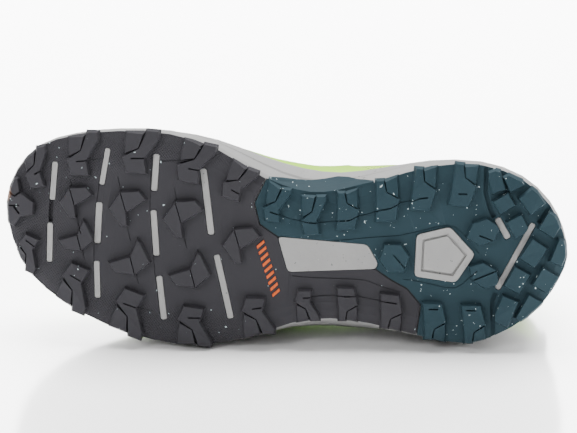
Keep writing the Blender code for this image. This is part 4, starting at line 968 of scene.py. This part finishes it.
def upper_films():
    for name, stands_for, start, end, profile in (
        ("toe_bumper_film", "toe_bumper", 21.0, 43.0,
         ((0, 0.02), (0.22, 0.16), (0.5, 0.40), (0.78, 0.16), (1, 0.02))),
        ("heel_counter_film", "heel_counter", -10.5, 10.5,
         ((0, 0.03), (0.28, 0.42), (0.5, 0.80), (0.72, 0.42), (1, 0.03))),
    ):
        made = wall_film(name, DARK_FILM, start, end, straight(0.0), eased(profile))
        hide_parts(stands_for)
    stay = wall_film("eyestay_film", LIME_FILM, 16.0, 48.0,
                     eased(((0, 0.86), (0.08, 0.73), (0.5, 0.70), (0.92, 0.73), (1, 0.86))),
                     straight(0.985), step=0.2)
    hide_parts("eyestay")
    solid = stay.modifiers.new("wall", "SOLIDIFY")
    solid.thickness = 0.5 * MM
    punch_eyelets(stay)
    rise = ((0, 0.04), (0.35, 0.44), (0.6, 0.30), (1, 0.05))
    fall_back = tuple((1 - share, height) for share, height in reversed(rise))
    for name, start, end, profile in (("inner", 11.5, 23.0, rise), ("outer", 41.0, 52.5, fall_back)):
        band = wall_film("side_film_" + name, LIME_FILM, start, end, straight(0.0), eased(profile),
                         0.5 * MM)


def upper_stitches():
    profile = eased(((0, 0.845), (0.08, 0.715), (0.5, 0.685), (0.92, 0.715), (1, 0.845)))
    throat = wall_path(16.2, 47.8, lambda s: profile(s) + 0.045, OVERLAY + 0.05 * MM, 260)
    collar = wall_path(-15.5, 15.5, straight(0.93), 0.05 * MM, 220)
    shapes = stitch_row(*throat) + stitch_row(*collar)
    made = add_piece("upper_stitches", merged(shapes), THREAD)


def eyelet_rings():
    shapes = []
    for index in EYELETS:
        centre, normal = eyelet_place(index, GAP + OVERLAY)
        along = normal.orthogonal().normalized()
        across = normal.cross(along)
        ring = []
        for k in range(20):
            angle = math.tau * k / 20
            out = along * math.cos(angle) + across * math.sin(angle)
            ring.append(centre + out * (EYELET_HOLE / 2 + 0.45 * MM))
        shapes.append(swept(ring, [normal] * 20, 1.1 * MM, 0.9 * MM, 8, 0.9, closed=True))
    made = add_piece("eyelet_rings", merged(shapes), TEAL_FILM)


def tongue_rows():
    def under(r, i):
        i %= COARSE.count
        return COARSE.lining[r][i] - COARSE.normals[r][i] * TONGUE_GAP

    last, toe = COARSE.last, COARSE.count // 2
    front = toe - 2
    tip = [under(last - 3, front), under(last - 3, front).lerp(under(last - 3, front + 1), 0.5),
           under(last - 3, front + 1), under(last - 3, toe), under(last - 3, toe + 1),
           under(last - 3, toe + 1).lerp(under(last - 3, toe + 2), 0.5),
           under(last - 3, toe + 2)]
    rows = [[p - Vector((0, 0, 1.5 * TONGUE_GAP)) for p in tip]]
    corner = COLLAR_ROWS * 2
    for i in range(front, corner - 1, -1):
        m1, m0 = under(last - 1, i), under(last, i)
        l1, l0 = under(last - 1, -i), under(last, -i)
        crown = TONGUE_CROWN * smooth_share((front - 1 - i) / 6) - 2 * GAP
        top = (m0 + l0) / 2 + Vector((0, 0, crown))
        q1 = m0.lerp(l0, 0.22) + Vector((0, 0, crown * 0.72))
        q3 = m0.lerp(l0, 0.78) + Vector((0, 0, crown * 0.72))
        rows.append([m1, m0, q1, top, q3, l0, l1])
    end, before = rows[-1], rows[-4]
    back = (end[3] - before[3]).normalized()
    rise = (back + Vector((0, 0, 0.45))).normalized()
    centre = end[3]
    for share, width in ((0.22, 0.70), (0.5, 0.77), (0.8, 0.75), (0.94, 0.62), (1.0, 0.42)):
        moved = []
        for p in end:
            across = p - centre
            drop = Vector((across.x, across.y * width, across.z * width * width))
            moved.append(centre + drop + rise * TONGUE_TAB * share)
        rows.append(moved)
    return rows


def tongue():
    rows = tongue_rows()
    height, width = len(rows), len(rows[0])
    upper_side, lower_side, uvs = [], [], []
    for r in range(height):
        for c in range(width):
            along = rows[min(r + 1, height - 1)][c] - rows[max(r - 1, 0)][c]
            across = rows[r][min(c + 1, width - 1)] - rows[r][max(c - 1, 0)]
            normal = along.cross(across).normalized()
            if normal.z < 0:
                normal = -normal
            thin = 0.45 if c in (0, 6) or r in (0, height - 1) else 1.0
            upper_side.append(rows[r][c])
            lower_side.append(rows[r][c] - normal * TONGUE_THICKNESS * thin)
            uvs.append((c * 7 * MM, r * 7 * MM))
    under = len(upper_side)
    faces = grid_faces(height, width)
    edges = {(a, b) for face in faces for a, b in zip(face, face[1:] + face[:1])}
    closed = faces + [tuple(under + q for q in face) for face in faces]
    closed += [(a, b, under + b, under + a) for a, b in edges if (b, a) not in edges]
    made = add_piece("tongue_pad", (upper_side + lower_side, closed), TONGUE_CLOTH, uvs + uvs)
    smooth = made.modifiers.new("soft", "SUBSURF")
    smooth.levels = smooth.render_levels = 2
    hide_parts("tongue")


def insole():
    edge = RIM_WALL + 2.5 * GAP + WALL

    def ring(depth, level):
        loop = [p - n * depth for p, n in zip(FINE.rim, FINE.sides)]
        return [Vector((p.x, p.y, level(p.x))) for p in loop]

    def top(s):
        cup = INSOLE_CUP * smooth_share((TOE_SPRING_START * LENGTH - s) / (LENGTH / 3))
        return footbed(s) + GAP + INSOLE_THICKNESS + cup

    def bed(s):
        return footbed(s) + GAP + INSOLE_THICKNESS

    rings = [ring(edge, lambda s: footbed(s) + GAP), ring(edge, lambda s: top(s) - 0.6 * MM),
             ring(edge + 0.6 * MM, top), ring(edge + 3 * MM, lambda s: (top(s) + 2 * bed(s)) / 3),
             ring(edge + 9 * MM, bed)]
    count = FINE.count
    points = [p for line in rings for p in line]
    faces = grid_faces(len(rings), count, closed=True)
    for first in (0, (len(rings) - 1) * count):
        faces.append((first, first + 1, first + count - 1))
        for i in range(1, count // 2 - 1):
            faces.append((first + i, first + i + 1, first + count - i - 1, first + count - i))
        faces.append((first + count // 2 - 1, first + count // 2, first + count // 2 + 1))
    uvs = [(p.x, p.y) for p in points]
    made = add_piece("insole_bed", (points, faces), INSOLE_CLOTH, uvs)
    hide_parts("insole")


def throat_edge(position, out):
    low = math.floor(position)
    part = position - low
    i, j = low % COARSE.count, (low + 1) % COARSE.count
    normal = COARSE.normals[-1][i].lerp(COARSE.normals[-1][j], part).normalized()
    return COARSE.rings[-1][i].lerp(COARSE.rings[-1][j], part) + normal * out, normal


def lace_run(first, second, over):
    """A flat lace out of one eyelet, over the tongue and into the eyelet on the other side."""
    lift = GAP + OVERLAY + 0.2 * MM + LACE_THICKNESS / 2
    start, start_normal = eyelet_place(first, lift)
    end, end_normal = eyelet_place(-second, lift)
    near, near_normal = throat_edge(first + (second - first) * 0.3, lift + 0.6 * MM + over)
    far, far_normal = throat_edge(-(first + (second - first) * 0.7), lift + 0.6 * MM + over)
    up = Vector((0, 0, 1))
    crown = TONGUE_CROWN * 0.9 + over
    across_start = (near - start).normalized()
    across_end = (far - end).normalized()
    keys = [
        (start - start_normal * 5.2 * MM - across_start * 0.2 * MM, -across_start),
        (start - start_normal * 2.2 * MM - across_start * 0.3 * MM, -across_start),
        (start + across_start * 0.3 * MM, (start_normal * 1.2 + across_start * -1.0).normalized()),
        (start + across_start * 3.0 * MM, start_normal),
        (near, near_normal),
        (near.lerp(far, 0.25) + up * crown * 0.8, up),
        (near.lerp(far, 0.5) + up * crown, up),
        (near.lerp(far, 0.75) + up * crown * 0.8, up),
        (far, far_normal),
        (end + across_end * 3.0 * MM, end_normal),
        (end + across_end * 0.3 * MM, (end_normal * 1.2 + across_end * -1.0).normalized()),
        (end - end_normal * 2.2 * MM - across_end * 0.3 * MM, -across_end),
        (end - end_normal * 5.2 * MM - across_end * 0.2 * MM, -across_end),
    ]
    path = open_spline([place for place, _ in keys], 4)
    normals = []
    for (_, first_way), (_, next_way) in zip(keys, keys[1:]):
        normals += [first_way.lerp(next_way, part / 4).normalized() for part in range(4)]
    normals.append(keys[-1][1])
    return swept(path, normals, LACE_WIDTH, LACE_THICKNESS, CORD_SIDES, 0.55)


def cord_uvs(points, around):
    return [((k % CORD_SIDES) * around, (k // CORD_SIDES) * 1.6 * MM) for k in range(len(points))]


def laces():
    lowest = EYELET_ROWS[-1]
    shapes = [lace_run(lowest, lowest, 0.0)]
    for high, low in zip(EYELET_ROWS, EYELET_ROWS[1:]):
        shapes.append(lace_run(low, high, 0.2 * MM))
        shapes.append(lace_run(high, low, 1.6 * MM))
    uvs = []
    for corners, _ in shapes:
        uvs += cord_uvs(corners, 0.9 * MM)
    made = add_piece("lace_runs", merged(shapes), LACE_CLOTH, uvs)
    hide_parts("laces")


def heel_loop():
    """A pull loop of webbing on the back of the collar."""
    low = FINE.at(0, 0.66, 0.5 * MM)
    across = Vector((0, 1, 0))
    keys = [low, FINE.at(0, 0.75, 1.4 * MM), FINE.at(0, 0.86, 3.4 * MM), FINE.at(0, 0.96, 4.2 * MM),
            FINE.at(0, 1.0, 1.6 * MM) + Vector((1 * MM, 0, 2.2 * MM)),
            FINE.lining[-1][0] + Vector((1.2 * MM, 0, 1.2 * MM)),
            FINE.lining[-3][0] + Vector((1.0 * MM, 0, -1 * MM))]
    path, normals = open_spline(keys, 5), []
    for k in range(len(path)):
        along = path[min(k + 1, len(path) - 1)] - path[max(k - 1, 0)]
        normals.append(across.cross(along).normalized())
    shape = swept(path, normals, 11 * MM, 1.3 * MM, CORD_SIDES, 0.45)
    made = add_piece("heel_loop", shape, LINING, cord_uvs(shape[0], 1.8 * MM))


# Floor, light and camera

def floor():
    mesh = bpy.data.meshes.new("floor")
    mesh.from_pydata([(-6, -6, 0), (6, -6, 0), (6, 6, 0), (-6, 6, 0)], [], [(0, 1, 2, 3)])
    made = bpy.data.objects.new("floor", mesh)
    bpy.context.scene.collection.objects.link(made)
    mesh.materials.append(shader("floor_look", (0.93, 0.93, 0.93), 0.14, Specular_IOR_Level=0.6)[0])
    return made


def area_light(row):
    data = bpy.data.lights.new(row.name, "AREA")
    data.shape = "RECTANGLE"
    data.size, data.size_y = row.size
    data.energy = row.power
    made = bpy.data.objects.new(row.name, data)
    made.location = row.place
    aim = Vector(row.aim) - Vector(row.place)
    made.rotation_euler = aim.to_track_quat("-Z", "Y").to_euler()
    bpy.context.scene.collection.objects.link(made)
    return made


def lights(ground_plane):
    world = bpy.data.worlds.new("studio")
    world.use_nodes = True
    background = world.node_tree.nodes["Background"]
    background.inputs[0].default_value = (1.0, 1.0, 1.0, 1)
    background.inputs[1].default_value = WORLD_LIGHT
    bpy.context.scene.world = world
    lit = bpy.data.collections.new("lit_floor")
    lit.objects.link(ground_plane)
    for row in LAMPS:
        lamp = area_light(row)
        if row.floor_only:
            lamp.light_linking.receiver_collection = lit


def camera():
    data = bpy.data.cameras.new("camera")
    data.lens = CAMERA_LENS
    data.sensor_width = 36
    data.clip_start, data.clip_end = 0.01, 50
    made = bpy.data.objects.new("camera", data)
    elevation, azimuth = math.radians(CAMERA_ELEVATION), math.radians(CAMERA_AZIMUTH)
    look = Vector((-math.sin(azimuth) * math.cos(elevation),
                   math.cos(azimuth) * math.cos(elevation), -math.sin(elevation)))
    made.location = Vector(CAMERA_AIM) - look * CAMERA_DISTANCE
    made.rotation_euler = look.to_track_quat("-Z", "Y").to_euler()
    bpy.context.scene.collection.objects.link(made)
    bpy.context.scene.camera = made


CUTS = tread_cutter()
finish_node("outsole_forefoot", BLACK_RUBBER, 0.3 * MM, CUTS)
finish_node("outsole_heel", TEAL_RUBBER, 0.3 * MM, CUTS)
finish_node("midsole", FOAM)
slanted_bars()
seam_strip()
upper()
upper_films()
upper_stitches()
eyelet_rings()
tongue()
insole()
laces()
heel_loop()
lights(floor())
camera()
